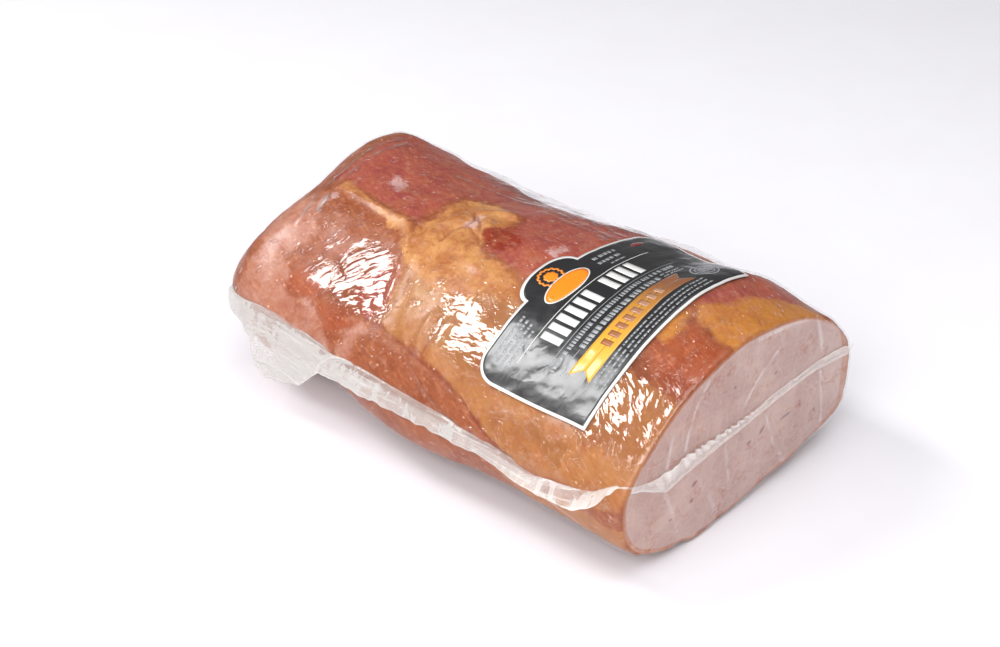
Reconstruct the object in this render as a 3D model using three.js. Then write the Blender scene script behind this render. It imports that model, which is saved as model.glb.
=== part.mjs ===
// A cooked boneless pork loin, cut across at one end and vacuum packed in clear film.
// The cut face looks along +X, the film's seam runs round the widest line, and the label lies over the crown.
// Millimetres, +Z up. The origin is on the surface it lies on, under the middle of the whole pack.
import * as THREE from 'three';

// The loin, and the height of its widest line, which the film's seam follows
const LENGTH = 260;
const WIDTH = 156;
const HEIGHT = 86;
const SEAM_HEIGHT = 41;
const BASE_FLAT = 1.5;

// How square each quarter of the section is: the power of its outline, 2 being an ellipse
const CROWN_RIGHT = 1.89;
const CROWN_LEFT = 1.53;
const FOOT_LEFT = 2.65;
const FOOT_RIGHT = 7.0;

// The cut end: a crisp edge, a face that swells a little, and a right foot that curls up
const CUT_EDGE = 3;
const CUT_SWELL = 1.5;
const CUT_CURL = { height: 13, from: 70, left: -30, right: 78 };

// The back end: a soft shoulder all round, set aslant
const BACK_ROUND = { along: 39, across: 13, up: 28 };
const BACK_SLANT = 17.5;
const BACK_SWELL = 3;

// Swellings and hollows: place along, angle round the section, height, reach along and reach round
const SWELLINGS = [
  { x: 96.5, angle: 62, height: 6.9, along: 19, round: 38 },
  { x: 55, angle: 40, height: 3.6, along: 26, round: 34 },
  { x: -38, angle: 55, height: -5.1, along: 36, round: 45 },
  { x: 7, angle: 207, height: 4.0, along: 30, round: 22 },
  { x: -60, angle: 212, height: -5.0, along: 30, round: 22 },
  { x: -125, angle: 59, height: 1.7, along: 30, round: 35 },
  { x: -124, angle: 65, height: 11.0, along: 22, round: 22 },
  { x: -118, angle: 146, height: 11.0, along: 26, round: 26 },
];

// The fat cover ends in a low step, which runs from the crown at the back down the left side to the front;
// over the crown it starts lower, as a share of its height
const FAT_STEP = { height: 1.5, soft: 4, from: 100, to: 196 };
const FAT_START = { share: 0.25, from: 118, to: 142 };
const FAT_EDGE = [
  { angle: 100, x: -118 },
  { angle: 110, x: -70 },
  { angle: 116, x: -38 },
  { angle: 128, x: -18 },
  { angle: 150, x: -8 },
  { angle: 168, x: 18 },
  { angle: 182, x: 41 },
  { angle: 190, x: 87 },
  { angle: 196, x: 125 },
];

// The film's seam: a thin hem that stands out round the pack, hangs at the sides and is wide at the back left
const FILM = 0.9;
const HEM_STEPS = 4;
const HEM_BEND = 5;
const CRINKLE = { short: 23, long: 57, side: 0.8, cut: 2.2 };
const CUT_HEM = { width: 7, droop: -62 };
const RIGHT_HEM = { width: 7, droop: 60 };
const BACK_HEM = { width: 5, droop: 76 };
const LEFT_HEM = [
  { x: -118, width: 3, droop: 76 },
  { x: -103, width: 8, droop: 76 },
  { x: -93, width: 12, droop: 76 },
  { x: -87, width: 17, droop: 76 },
  { x: -81, width: 27, droop: 76 },
  { x: -75, width: 31, droop: 75 },
  { x: -63, width: 28, droop: 74 },
  { x: -52, width: 24, droop: 72 },
  { x: -46, width: 18, droop: 70 },
  { x: -40, width: 12, droop: 68 },
  { x: -20, width: 11, droop: 66 },
  { x: 15, width: 9.5, droop: 64 },
  { x: 55, width: 6.5, droop: 62 },
  { x: 89, width: 7.5, droop: 58 },
  { x: 109, width: 9.5, droop: 52 },
  { x: 122, width: 6, droop: 34 },
];

// The label: its edges along the loin, and over the crown to each side, with a round bulge on its back edge
const LABEL = { back: 38, front: 100, left: 73, right: -47, corner: 12, thick: 0.5, clear: 0.8 };
const LABEL_BULGE = { middle: 17, half: 17, out: 9 };

// The middle of the whole pack, film included, in the loin's own coordinates
const MIDDLE = { x: 2.48, y: 0.01 };

const RINGS = { backFace: 4, backEdge: 4, length: 30, cutEdge: 2, cutFace: 8 };
const SIDES = 48;
const LABEL_CELLS = { along: 12, round: 18 };

const TURN = 2 * Math.PI;
const QUARTER = Math.PI / 2;
const UP = new THREE.Vector3(0, 0, 1);
const { lerp, clamp, degToRad } = THREE.MathUtils;

function smooth(value, from, to) {
  const t = clamp((value - from) / (to - from), 0, 1);
  return t * t * (3 - 2 * t);
}

function power(value, exponent) {
  return Math.sign(value) * Math.abs(value) ** exponent;
}

// The plain section, from the right side (0) over the crown (a quarter turn) to the left side and the foot
function section(angle) {
  const crown = lerp(CROWN_RIGHT, CROWN_LEFT, smooth(angle, degToRad(50), degToRad(160)));
  const foot = lerp(FOOT_LEFT, FOOT_RIGHT, smooth(angle, degToRad(250), degToRad(300)));
  const above = Math.sin(angle) >= 0;
  const exponent = 2 / (above ? crown : foot);
  const reach = above ? HEIGHT - SEAM_HEIGHT : SEAM_HEIGHT + BASE_FLAT;
  return {
    across: (WIDTH / 2) * power(Math.cos(angle), exponent),
    up: reach * power(Math.sin(angle), exponent),
  };
}

// A named size read from a list of places, in order along one key, with straight runs between them
function between(places, key, at, name) {
  const next = places.findIndex((place) => place[key] > at);
  if (next === 0) return places[0][name];
  if (next < 0) return places[places.length - 1][name];
  const before = places[next - 1];
  const t = (at - before[key]) / (places[next][key] - before[key]);
  return lerp(before[name], places[next][name], t);
}

// How far the surface stands out from the plain section at one place
function relief(x, angle) {
  const degrees = THREE.MathUtils.radToDeg(angle);
  let height = 0;
  for (const swelling of SWELLINGS) {
    const round = ((degrees - swelling.angle + 540) % 360) - 180;
    const fall = ((x - swelling.x) / swelling.along) ** 2 + (round / swelling.round) ** 2;
    height += swelling.height * Math.exp(-fall);
  }
  const edge = between(FAT_EDGE, 'angle', degrees, 'x');
  const started = smooth(degrees, FAT_STEP.from, FAT_STEP.from + 10);
  const onLeft = started * smooth(-degrees, -FAT_STEP.to, -FAT_STEP.to + 12);
  const full = lerp(FAT_START.share, 1, smooth(degrees, FAT_START.from, FAT_START.to));
  return height - FAT_STEP.height * full * smooth(edge - x, -FAT_STEP.soft, FAT_STEP.soft) * onLeft;
}

// A point of the skin: its place along, how far the ring has closed in (1 open, 0 shut), its angle round
function skin(x, across, up, angle) {
  const plain = section(angle);
  const radius = Math.max(Math.hypot(plain.across, plain.up), 20);
  const swell = 1 + relief(x, angle) / radius;
  const y = plain.across * swell * across;
  let z = SEAM_HEIGHT + plain.up * swell * up;
  const curl = clamp((y - CUT_CURL.left) / (CUT_CURL.right - CUT_CURL.left), 0, 2) ** 1.1;
  z += CUT_CURL.height * smooth(x, CUT_CURL.from, LENGTH / 2) * curl * (1 - smooth(z, 0, SEAM_HEIGHT));
  const slant = BACK_SLANT * clamp((WIDTH / 2 - y) / WIDTH, 0, 1) ** 1.2 * smooth(-x, -10, LENGTH / 2);
  return new THREE.Vector3(x + slant, y, Math.max(z, 0));
}

// The rings of the skin from the middle of the back end to the middle of the cut
function rings() {
  const list = [];
  const back = { across: 1 - BACK_ROUND.across / (WIDTH / 2), up: 1 - BACK_ROUND.up / (HEIGHT / 2) };
  const cut = { across: 1 - CUT_EDGE / (WIDTH / 2), up: 1 - CUT_EDGE / (HEIGHT / 2) };
  for (let i = 1; i < RINGS.backFace; i += 1) {
    const open = i / RINGS.backFace;
    const x = -LENGTH / 2 - BACK_SWELL * (1 - open ** 2);
    list.push({ x, across: back.across * open, up: back.up * open });
  }
  for (let i = 0; i < RINGS.backEdge; i += 1) {
    const turn = QUARTER * (i / RINGS.backEdge);
    const x = -LENGTH / 2 + BACK_ROUND.along * (1 - Math.cos(turn));
    list.push({ x, across: lerp(back.across, 1, Math.sin(turn)), up: lerp(back.up, 1, Math.sin(turn)) });
  }
  for (let i = 0; i <= RINGS.length; i += 1) {
    const x = lerp(-LENGTH / 2 + BACK_ROUND.along, LENGTH / 2 - CUT_EDGE, i / RINGS.length);
    list.push({ x, across: 1, up: 1 });
  }
  for (let i = 1; i <= RINGS.cutEdge; i += 1) {
    const turn = QUARTER * (i / RINGS.cutEdge);
    const x = LENGTH / 2 - CUT_EDGE * (1 - Math.sin(turn));
    list.push({ x, across: lerp(cut.across, 1, Math.cos(turn)), up: lerp(cut.up, 1, Math.cos(turn)) });
  }
  for (let i = RINGS.cutFace - 1; i > 0; i -= 1) {
    const open = i / RINGS.cutFace;
    const x = LENGTH / 2 + CUT_SWELL * (1 - open ** 2);
    list.push({ x, across: cut.across * open, up: cut.up * open });
  }
  return list;
}

// How wide the hem is at a point of the seam, how far it hangs, and how strongly it ripples
function hemAt(point) {
  const toLeft = smooth(-point.y, -20, 60);
  const toCut = smooth(point.x, LENGTH / 2 - 10, LENGTH / 2);
  const side = {
    width: lerp(RIGHT_HEM.width, between(LEFT_HEM, 'x', point.x, 'width'), toLeft),
    droop: lerp(RIGHT_HEM.droop, between(LEFT_HEM, 'x', point.x, 'droop'), toLeft),
  };
  const toBack = smooth(-point.x, LENGTH / 2 - 22, LENGTH / 2 - 8) * (1 - smooth(-point.y, 40, 74));
  return {
    width: lerp(lerp(side.width, BACK_HEM.width, toBack), CUT_HEM.width, toCut),
    droop: degToRad(lerp(lerp(side.droop, BACK_HEM.droop, toBack), CUT_HEM.droop, toCut)),
    crinkle: lerp(CRINKLE.side, CRINKLE.cut, toCut),
  };
}

// One cut through the hem's middle layer, from the skin outwards: it bends down, and its edge is crinkled
function hemCut(point, outward, walked) {
  const { width, droop, crinkle } = hemAt(point);
  const place = point.clone();
  const cut = [];
  for (let i = 1; i <= HEM_STEPS; i += 1) {
    const tilt = droop * smooth((width * i) / HEM_STEPS, -HEM_BEND, HEM_BEND);
    const normal = outward.clone().multiplyScalar(Math.sin(tilt)).addScaledVector(UP, Math.cos(tilt));
    const ahead = outward.clone().multiplyScalar(Math.cos(tilt)).addScaledVector(UP, -Math.sin(tilt));
    place.addScaledVector(ahead, width / HEM_STEPS);
    const ripple = Math.sin((TURN * walked) / CRINKLE.short + i) + Math.sin((TURN * walked) / CRINKLE.long);
    cut.push({ at: place.clone().addScaledVector(normal, 0.5 * crinkle * ripple * (i / HEM_STEPS)), normal });
  }
  return cut;
}

// The points and faces of a mesh as it is made
class Sheet {
  constructor() {
    this.points = [];
    this.faces = [];
  }

  put(point) {
    this.points.push(point.x, point.y, point.z);
    return this.points.length / 3 - 1;
  }

  // A four-sided face, its corners in order and turning left seen from outside
  quad(a, b, c, d) {
    this.faces.push(a, b, c, a, c, d);
  }

  geometry() {
    const geometry = new THREE.BufferGeometry();
    geometry.setAttribute('position', new THREE.Float32BufferAttribute(this.points, 3));
    geometry.setIndex(this.faces);
    return geometry;
  }
}

// The half of the skin above or below the seam; its own edge is the film's thickness away from the seam
function halfSkin(sheet, list, from, lift) {
  const half = SIDES / 2;
  const seamPoint = (x, across, up, angle) => sheet.put(skin(x, across, up, angle).addScaledVector(UP, lift));
  const rows = list.map(({ x, across, up }) => {
    const row = [];
    for (let j = 0; j <= half; j += 1) {
      const angle = from + (Math.PI * j) / half;
      const onSeam = j === 0 || j === half;
      row.push(onSeam ? seamPoint(x, across, up, angle) : sheet.put(skin(x, across, up, angle)));
    }
    return row;
  });
  const backMiddle = seamPoint(-LENGTH / 2 - BACK_SWELL, 0, 0, 0);
  const cutMiddle = seamPoint(LENGTH / 2 + CUT_SWELL, 0, 0, 0);
  const lastRow = rows[rows.length - 1];
  for (let j = 0; j < half; j += 1) {
    for (let i = 0; i < rows.length - 1; i += 1) {
      sheet.quad(rows[i][j], rows[i][j + 1], rows[i + 1][j + 1], rows[i + 1][j]);
    }
    sheet.faces.push(backMiddle, rows[0][j + 1], rows[0][j]);
    sheet.faces.push(cutMiddle, lastRow[j], lastRow[j + 1]);
  }
  const first = rows.map((row) => row[0]);
  const second = rows.map((row) => row[half]);
  const [right, left] = from === 0 ? [first, second] : [second, first];
  return [backMiddle, ...right, cutMiddle, ...left.reverse()];
}

// The loin in its film as one closed skin: the upper half, the lower half, and the hem between their edges
function loinGeometry() {
  const sheet = new Sheet();
  const list = rings();
  const upper = halfSkin(sheet, list, 0, FILM / 2);
  const lower = halfSkin(sheet, list, Math.PI, -FILM / 2);
  const right = list.map(({ x, across, up }) => skin(x, across, up, 0));
  const left = list.map(({ x, across, up }) => skin(x, across, up, Math.PI));
  const backMiddle = skin(-LENGTH / 2 - BACK_SWELL, 0, 0, 0);
  const cutMiddle = skin(LENGTH / 2 + CUT_SWELL, 0, 0, 0);
  const seam = [backMiddle, ...right, cutMiddle, ...left.reverse()];
  const count = seam.length;
  let walked = 0;
  const cuts = seam.map((point, i) => {
    const next = seam[(i + 1) % count];
    const ahead = next.clone().sub(seam[(i + count - 1) % count]);
    const outward = new THREE.Vector3().crossVectors(UP, ahead).setZ(0).normalize();
    const cut = hemCut(point, outward, walked);
    const face = (lift) => cut.map(({ at, normal }) => sheet.put(at.clone().addScaledVector(normal, lift)));
    walked += point.distanceTo(next);
    return { over: [upper[i], ...face(FILM / 2)], under: [lower[i], ...face(-FILM / 2)] };
  });
  cuts.forEach((near, i) => {
    const far = cuts[(i + 1) % count];
    for (let m = 0; m < HEM_STEPS; m += 1) {
      sheet.quad(near.over[m], far.over[m], far.over[m + 1], near.over[m + 1]);
      sheet.quad(near.under[m], near.under[m + 1], far.under[m + 1], far.under[m]);
    }
    sheet.quad(near.over[HEM_STEPS], far.over[HEM_STEPS], far.under[HEM_STEPS], near.under[HEM_STEPS]);
  });
  return sheet.geometry();
}

// The place on the skin at a distance round from the crown, positive down the left side
function overCrown(x, round) {
  const steps = 90;
  let before = skin(x, 1, 1, QUARTER);
  let walked = 0;
  for (let i = 1; i <= steps; i += 1) {
    const angle = QUARTER + Math.sign(round) * QUARTER * (i / steps);
    const point = skin(x, 1, 1, angle);
    const span = point.distanceTo(before);
    if (walked + span >= Math.abs(round)) {
      return before.lerp(point, (Math.abs(round) - walked) / span);
    }
    walked += span;
    before = point;
  }
  return before;
}

function overCrownNormal(x, round) {
  const step = 2;
  const along = overCrown(x + step, round).sub(overCrown(x - step, round));
  const across = overCrown(x, round - step).sub(overCrown(x, round + step));
  return along.cross(across).normalize();
}

// The label's back edge: rounded at both corners, with the bulge between them
function labelBack(round) {
  const inFrom = Math.min(LABEL.left - round, round - LABEL.right);
  const corner = LABEL.corner - Math.min(inFrom, LABEL.corner);
  const rounded = LABEL.corner - Math.sqrt(LABEL.corner ** 2 - corner ** 2);
  const away = clamp(Math.abs(round - LABEL_BULGE.middle) / LABEL_BULGE.half, 0, 1);
  return LABEL.back + rounded - LABEL_BULGE.out * Math.sqrt(1 - away ** 2.4);
}

// A thin sheet that follows the skin, a little clear of it
function labelGeometry() {
  const { along, round } = LABEL_CELLS;
  const sheet = new Sheet();
  const upper = [];
  const lower = [];
  for (let j = 0; j <= round; j += 1) {
    const down = lerp(LABEL.right, LABEL.left, 0.5 - 0.5 * Math.cos((Math.PI * j) / round));
    upper.push([]);
    lower.push([]);
    for (let i = 0; i <= along; i += 1) {
      const x = lerp(labelBack(down), LABEL.front, i / along);
      const normal = overCrownNormal(x, down);
      const foot = overCrown(x, down).addScaledVector(normal, LABEL.clear);
      lower[j].push(sheet.put(foot));
      upper[j].push(sheet.put(foot.addScaledVector(normal, LABEL.thick)));
    }
  }
  for (let j = 0; j < round; j += 1) {
    for (let i = 0; i < along; i += 1) {
      sheet.quad(upper[j][i], upper[j + 1][i], upper[j + 1][i + 1], upper[j][i + 1]);
      sheet.quad(lower[j][i], lower[j][i + 1], lower[j + 1][i + 1], lower[j + 1][i]);
    }
    sheet.quad(upper[j][along], upper[j + 1][along], lower[j + 1][along], lower[j][along]);
    sheet.quad(upper[j + 1][0], upper[j][0], lower[j][0], lower[j + 1][0]);
  }
  for (let i = 0; i < along; i += 1) {
    sheet.quad(upper[0][i], upper[0][i + 1], lower[0][i + 1], lower[0][i]);
    sheet.quad(upper[round][i + 1], upper[round][i], lower[round][i], lower[round][i + 1]);
  }
  return sheet.geometry();
}

function addNode(group, name, geometry, look) {
  geometry.translate(-MIDDLE.x, -MIDDLE.y, 0);
  geometry.computeVertexNormals();
  const mesh = new THREE.Mesh(geometry, new THREE.MeshStandardMaterial(look));
  mesh.name = name;
  group.add(mesh);
}

const pack = new THREE.Group();
addNode(pack, 'loin_in_film', loinGeometry(), { color: 0xc9783f, roughness: 0.25, metalness: 0 });
addNode(pack, 'label', labelGeometry(), { color: 0x3a3b3f, roughness: 0.35, metalness: 0 });

export default pack;
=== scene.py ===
"""A cooked pork loin, vacuum packed in clear film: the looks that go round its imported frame.

Shapes are worked out in millimetres in the loin's own coordinates, with x along the loin to
its cut face, y to its right side and z up. They go into the meshes in metres, moved by
MIDDLE, so that the middle of the pack stands over the origin as it does in the frame.
"""
import logging
from dataclasses import dataclass, field
from enum import Enum

import bpy
import numpy as np
from mathutils import Matrix, Vector


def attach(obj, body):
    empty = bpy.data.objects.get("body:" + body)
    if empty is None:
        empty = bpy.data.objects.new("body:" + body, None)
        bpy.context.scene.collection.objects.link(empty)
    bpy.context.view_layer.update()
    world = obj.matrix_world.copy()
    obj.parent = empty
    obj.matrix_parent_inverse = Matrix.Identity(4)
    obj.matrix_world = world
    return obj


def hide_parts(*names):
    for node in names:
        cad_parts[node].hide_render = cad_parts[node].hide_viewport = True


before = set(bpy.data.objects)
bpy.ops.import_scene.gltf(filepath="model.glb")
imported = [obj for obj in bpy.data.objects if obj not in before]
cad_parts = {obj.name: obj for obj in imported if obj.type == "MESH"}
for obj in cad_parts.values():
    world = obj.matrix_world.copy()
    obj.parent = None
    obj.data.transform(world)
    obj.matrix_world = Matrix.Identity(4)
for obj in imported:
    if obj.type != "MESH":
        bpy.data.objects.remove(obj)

Array = np.ndarray
Colour = tuple[float, float, float, float]
Pair = tuple[Colour, Colour]
Material = bpy.types.Material
Node = bpy.types.Node
Piece = bpy.types.Object
Socket = bpy.types.NodeSocket
Inputs = dict[str | int, object]
Mark = tuple[float, float, float, float, float]
Outline = tuple[tuple[float, float], ...]
Place = tuple[float, float, float]

LOG = logging.getLogger("loin")
METRES = 0.001
MIDDLE = np.array([2.48, 0.01, 0.0])


def srgb(red: float, green: float, blue: float) -> Colour:
    """Turns a screen colour into the linear one that a shader takes."""
    screen = np.array([red, green, blue]) / 255.0
    linear = np.where(screen <= 0.04045, screen / 12.92, ((screen + 0.055) / 1.055) ** 2.4)
    return (float(linear[0]), float(linear[1]), float(linear[2]), 1.0)


def mixed(share: Array, first: Array | float, second: Array | float) -> Array:
    """Goes from the first value to the second as share goes from 0 to 1."""
    return first + (second - first) * share


def level(first: Array, second: Array) -> Array:
    """Places whose x and y are the two values and whose z is nought."""
    return np.stack(np.broadcast_arrays(first, second, 0.0), axis=-1)


def smooth(value: Array, start: float, end: float) -> Array:
    """Eases from 0 at start to 1 at end, whichever is larger: 3 t squared less 2 t cubed."""
    t = np.clip((value - start) / (end - start), 0.0, 1.0)
    return t * t * (3.0 - 2.0 * t)


def window(value: Array, start: float, full: float, fading: float, end: float) -> Array:
    """Eases from 0 at start to 1 at full, and from there at fading back to 0 at end."""
    return smooth(value, start, full) * smooth(value, end, fading)


def signed_power(value: Array, exponent: Array) -> Array:
    """Raises the size of a value to a power and keeps its sign."""
    return np.sign(value) * np.abs(value) ** exponent


def unit(vectors: Array) -> Array:
    """Scales vectors to length one."""
    return vectors / np.maximum(np.linalg.norm(vectors, axis=-1, keepdims=True), 1e-9)


@dataclass(frozen=True)
class LatticeNoise:
    """Smooth gradient noise on a lattice of seeded directions, the same on every run."""

    seed: int
    cells: int = 32
    shift: float = 7.3
    octave_shift: float = 3.7
    gain: float = 1.6

    def at(self, points: Array, size: float, octaves: int = 1) -> Array:
        """Noise at points: at each corner of a cell the offset times its direction, blended with
        a quintic ease, and summed over octaves of half the size and half the height.

        Args:
            points: places, with x, y and z last.
            size: the width of one cell, in the points' units.
            octaves: how many finer layers are summed.

        Returns:
            Noise roughly between -1 and 1.
        """
        draws = np.random.default_rng(self.seed).normal(size=(self.cells,) * 3 + (3,))
        table = unit(draws)
        total = np.zeros(points.shape[:-1])
        height = 1.0
        place = points / size + self.shift
        for _ in range(octaves):
            corner = np.floor(place).astype(int)
            offset = place - corner
            ease = offset**3 * (offset * (offset * 6.0 - 15.0) + 10.0)
            for step in np.ndindex(2, 2, 2):
                index = (corner + step) % self.cells
                toward = table[index[..., 0], index[..., 1], index[..., 2]]
                share = np.prod(np.where(np.array(step) == 1, ease, 1.0 - ease), axis=-1)
                total = total + height * share * np.sum(toward * (offset - step), axis=-1)
            place = place * 2.0 + self.octave_shift
            height *= 0.5
        return self.gain * total


@dataclass(frozen=True)
class Swelling:
    """A soft bump or hollow: place along, angle round, height, and its reach along and round."""

    x: float
    angle: float
    height: float
    along: float
    round: float

    def over(self, x: Array, degrees: Array) -> Array:
        """Its height at each place: e to the minus sum of the squares of the distances over its reach."""
        turned = (degrees - self.angle + 540.0) % 360.0 - 180.0
        return self.height * np.exp(-((x - self.x) / self.along) ** 2 - (turned / self.round) ** 2)


@dataclass(frozen=True)
class LoinShape:
    """The loin's skin as a function of a place along it and an angle round it, from 0 at the right
    side over the crown to the left side and the foot. Its sizes are the CAD model's."""

    length: float = 260.0
    width: float = 156.0
    height: float = 86.0
    seam_height: float = 41.0
    base_flat: float = 1.5
    crown_right: float = 1.89
    crown_left: float = 1.53
    foot_left: float = 2.65
    foot_right: float = 7.0
    cut_edge: float = 2.2
    cut_swell: float = 1.5
    curl_height: float = 13.0
    curl_from: float = 70.0
    curl_left: float = -30.0
    curl_right: float = 78.0
    back_along: float = 39.0
    back_across: float = 13.0
    back_up: float = 28.0
    back_slant: float = 17.5
    back_swell: float = 3.0
    fat_step: float = 1.5
    fat_soft: float = 4.0
    fat_from: float = 100.0
    fat_to: float = 196.0
    fat_edge: Outline = (
        (100, -118), (110, -70), (116, -38), (128, -18), (150, -8), (168, 18), (182, 41), (190, 87),
        (196, 125),
    )
    swellings: tuple[Swelling, ...] = (
        Swelling(96.5, 62, 6.9, 19, 38),
        Swelling(55, 40, 3.6, 26, 34),
        Swelling(-38, 55, -5.1, 36, 45),
        Swelling(7, 207, 4.0, 30, 22),
        Swelling(-60, 212, -5.0, 30, 22),
        Swelling(-125, 59, 1.7, 30, 35),
        Swelling(-124, 65, 11.0, 22, 22),
        Swelling(-118, 146, 11.0, 26, 26),
    )

    def relief(self, x: Array, angle: Array) -> Array:
        """How far the skin stands out from the plain section: a bell for each swelling, less the
        step where the fat cover ends."""
        degrees = np.degrees(angle)
        total = sum(bump.over(x, degrees) for bump in self.swellings)
        angles, places = np.array(self.fat_edge, dtype=float).T
        edge = np.interp(degrees, angles, places)
        on_left = window(degrees, self.fat_from, self.fat_from + 10.0, self.fat_to - 12.0, self.fat_to)
        on_left = on_left * mixed(smooth(degrees, 118.0, 142.0), 0.25, 1.0)
        return total - self.fat_step * smooth(edge - x, -self.fat_soft, self.fat_soft) * on_left

    def skin(self, x: Array, across: Array, up: Array, angle: Array) -> Array:
        """Points of the skin. Each quarter of the section is a superellipse about the seam's height,
        swollen by the relief; then the cut's right foot curls up and the back end slants.

        Args:
            x: place along the loin.
            across: how open the ring is sideways, 1 on the length and 0 at the middle of an end.
            up: the same, upwards.
            angle: angle round the section, in radians.

        Returns:
            The points, with x, y and z last.
        """
        x, across, up, angle = np.broadcast_arrays(x, across, up, angle)
        above = np.sin(angle) >= 0.0
        over, under = (smooth(np.degrees(angle), *turn) for turn in ((50, 160), (250, 300)))
        crown = mixed(over, self.crown_right, self.crown_left)
        foot = mixed(under, self.foot_left, self.foot_right)
        exponent = 2.0 / np.where(above, crown, foot)
        reach = np.where(above, self.height - self.seam_height, self.seam_height + self.base_flat)
        y = self.width / 2.0 * signed_power(np.cos(angle), exponent)
        z = reach * signed_power(np.sin(angle), exponent)
        swell = 1.0 + self.relief(x, angle) / np.maximum(np.hypot(y, z), 20.0)
        y = y * swell * across
        z = self.seam_height + z * swell * up
        curl = np.clip((y - self.curl_left) / (self.curl_right - self.curl_left), 0.0, 2.0) ** 1.1
        curl = curl * smooth(x, self.curl_from, self.length / 2.0) * smooth(z, self.seam_height, 0.0)
        slant = self.back_slant * np.clip((self.width / 2.0 - y) / self.width, 0.0, 1.0) ** 1.2
        slant = slant * smooth(-x, -10.0, self.length / 2.0)
        return np.stack([x + slant, y, np.maximum(z + self.curl_height * curl, 0.0)], axis=-1)

    def rings(self, spacing: float) -> tuple[Array, Array, Array]:
        """The rings of a closed grid from just off the middle of the back end to just off the middle
        of the cut: two flat ends that swell as a parabola, with a quarter turn at each edge.

        Args:
            spacing: the distance from one ring to the next.

        Returns:
            Each ring's place along, and how open it is sideways and upwards.
        """
        half = self.length / 2.0
        halves = np.array([self.width, self.height]) / 2.0
        back = 1.0 - np.array([self.back_across, self.back_up]) / halves
        cut = 1.0 - self.cut_edge / halves
        face_rings = int(self.width / 2.0 / spacing)
        opening = np.arange(1, face_rings) / face_rings
        back_turn = np.linspace(0.0, np.pi / 2.0, int(1.4 * self.back_along / spacing), endpoint=False)
        cut_turn = np.linspace(0.0, np.pi / 2.0, 7)[1:]
        run = np.linspace(-half + self.back_along, half - self.cut_edge, int(self.length * 0.88 / spacing))
        x = np.concatenate([
            -half - self.back_swell * (1.0 - opening**2),
            -half + self.back_along * (1.0 - np.cos(back_turn)),
            run,
            half - self.cut_edge * (1.0 - np.sin(cut_turn)),
            half + self.cut_swell * (1.0 - opening[::-1] ** 2),
        ])
        opened = np.concatenate([
            back * opening[:, None],
            mixed(np.sin(back_turn)[:, None], back, 1.0),
            np.ones((len(run), 2)),
            mixed(np.cos(cut_turn)[:, None], cut, 1.0),
            cut * opening[::-1][:, None],
        ])
        return x, opened[:, 0], opened[:, 1]


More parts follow.
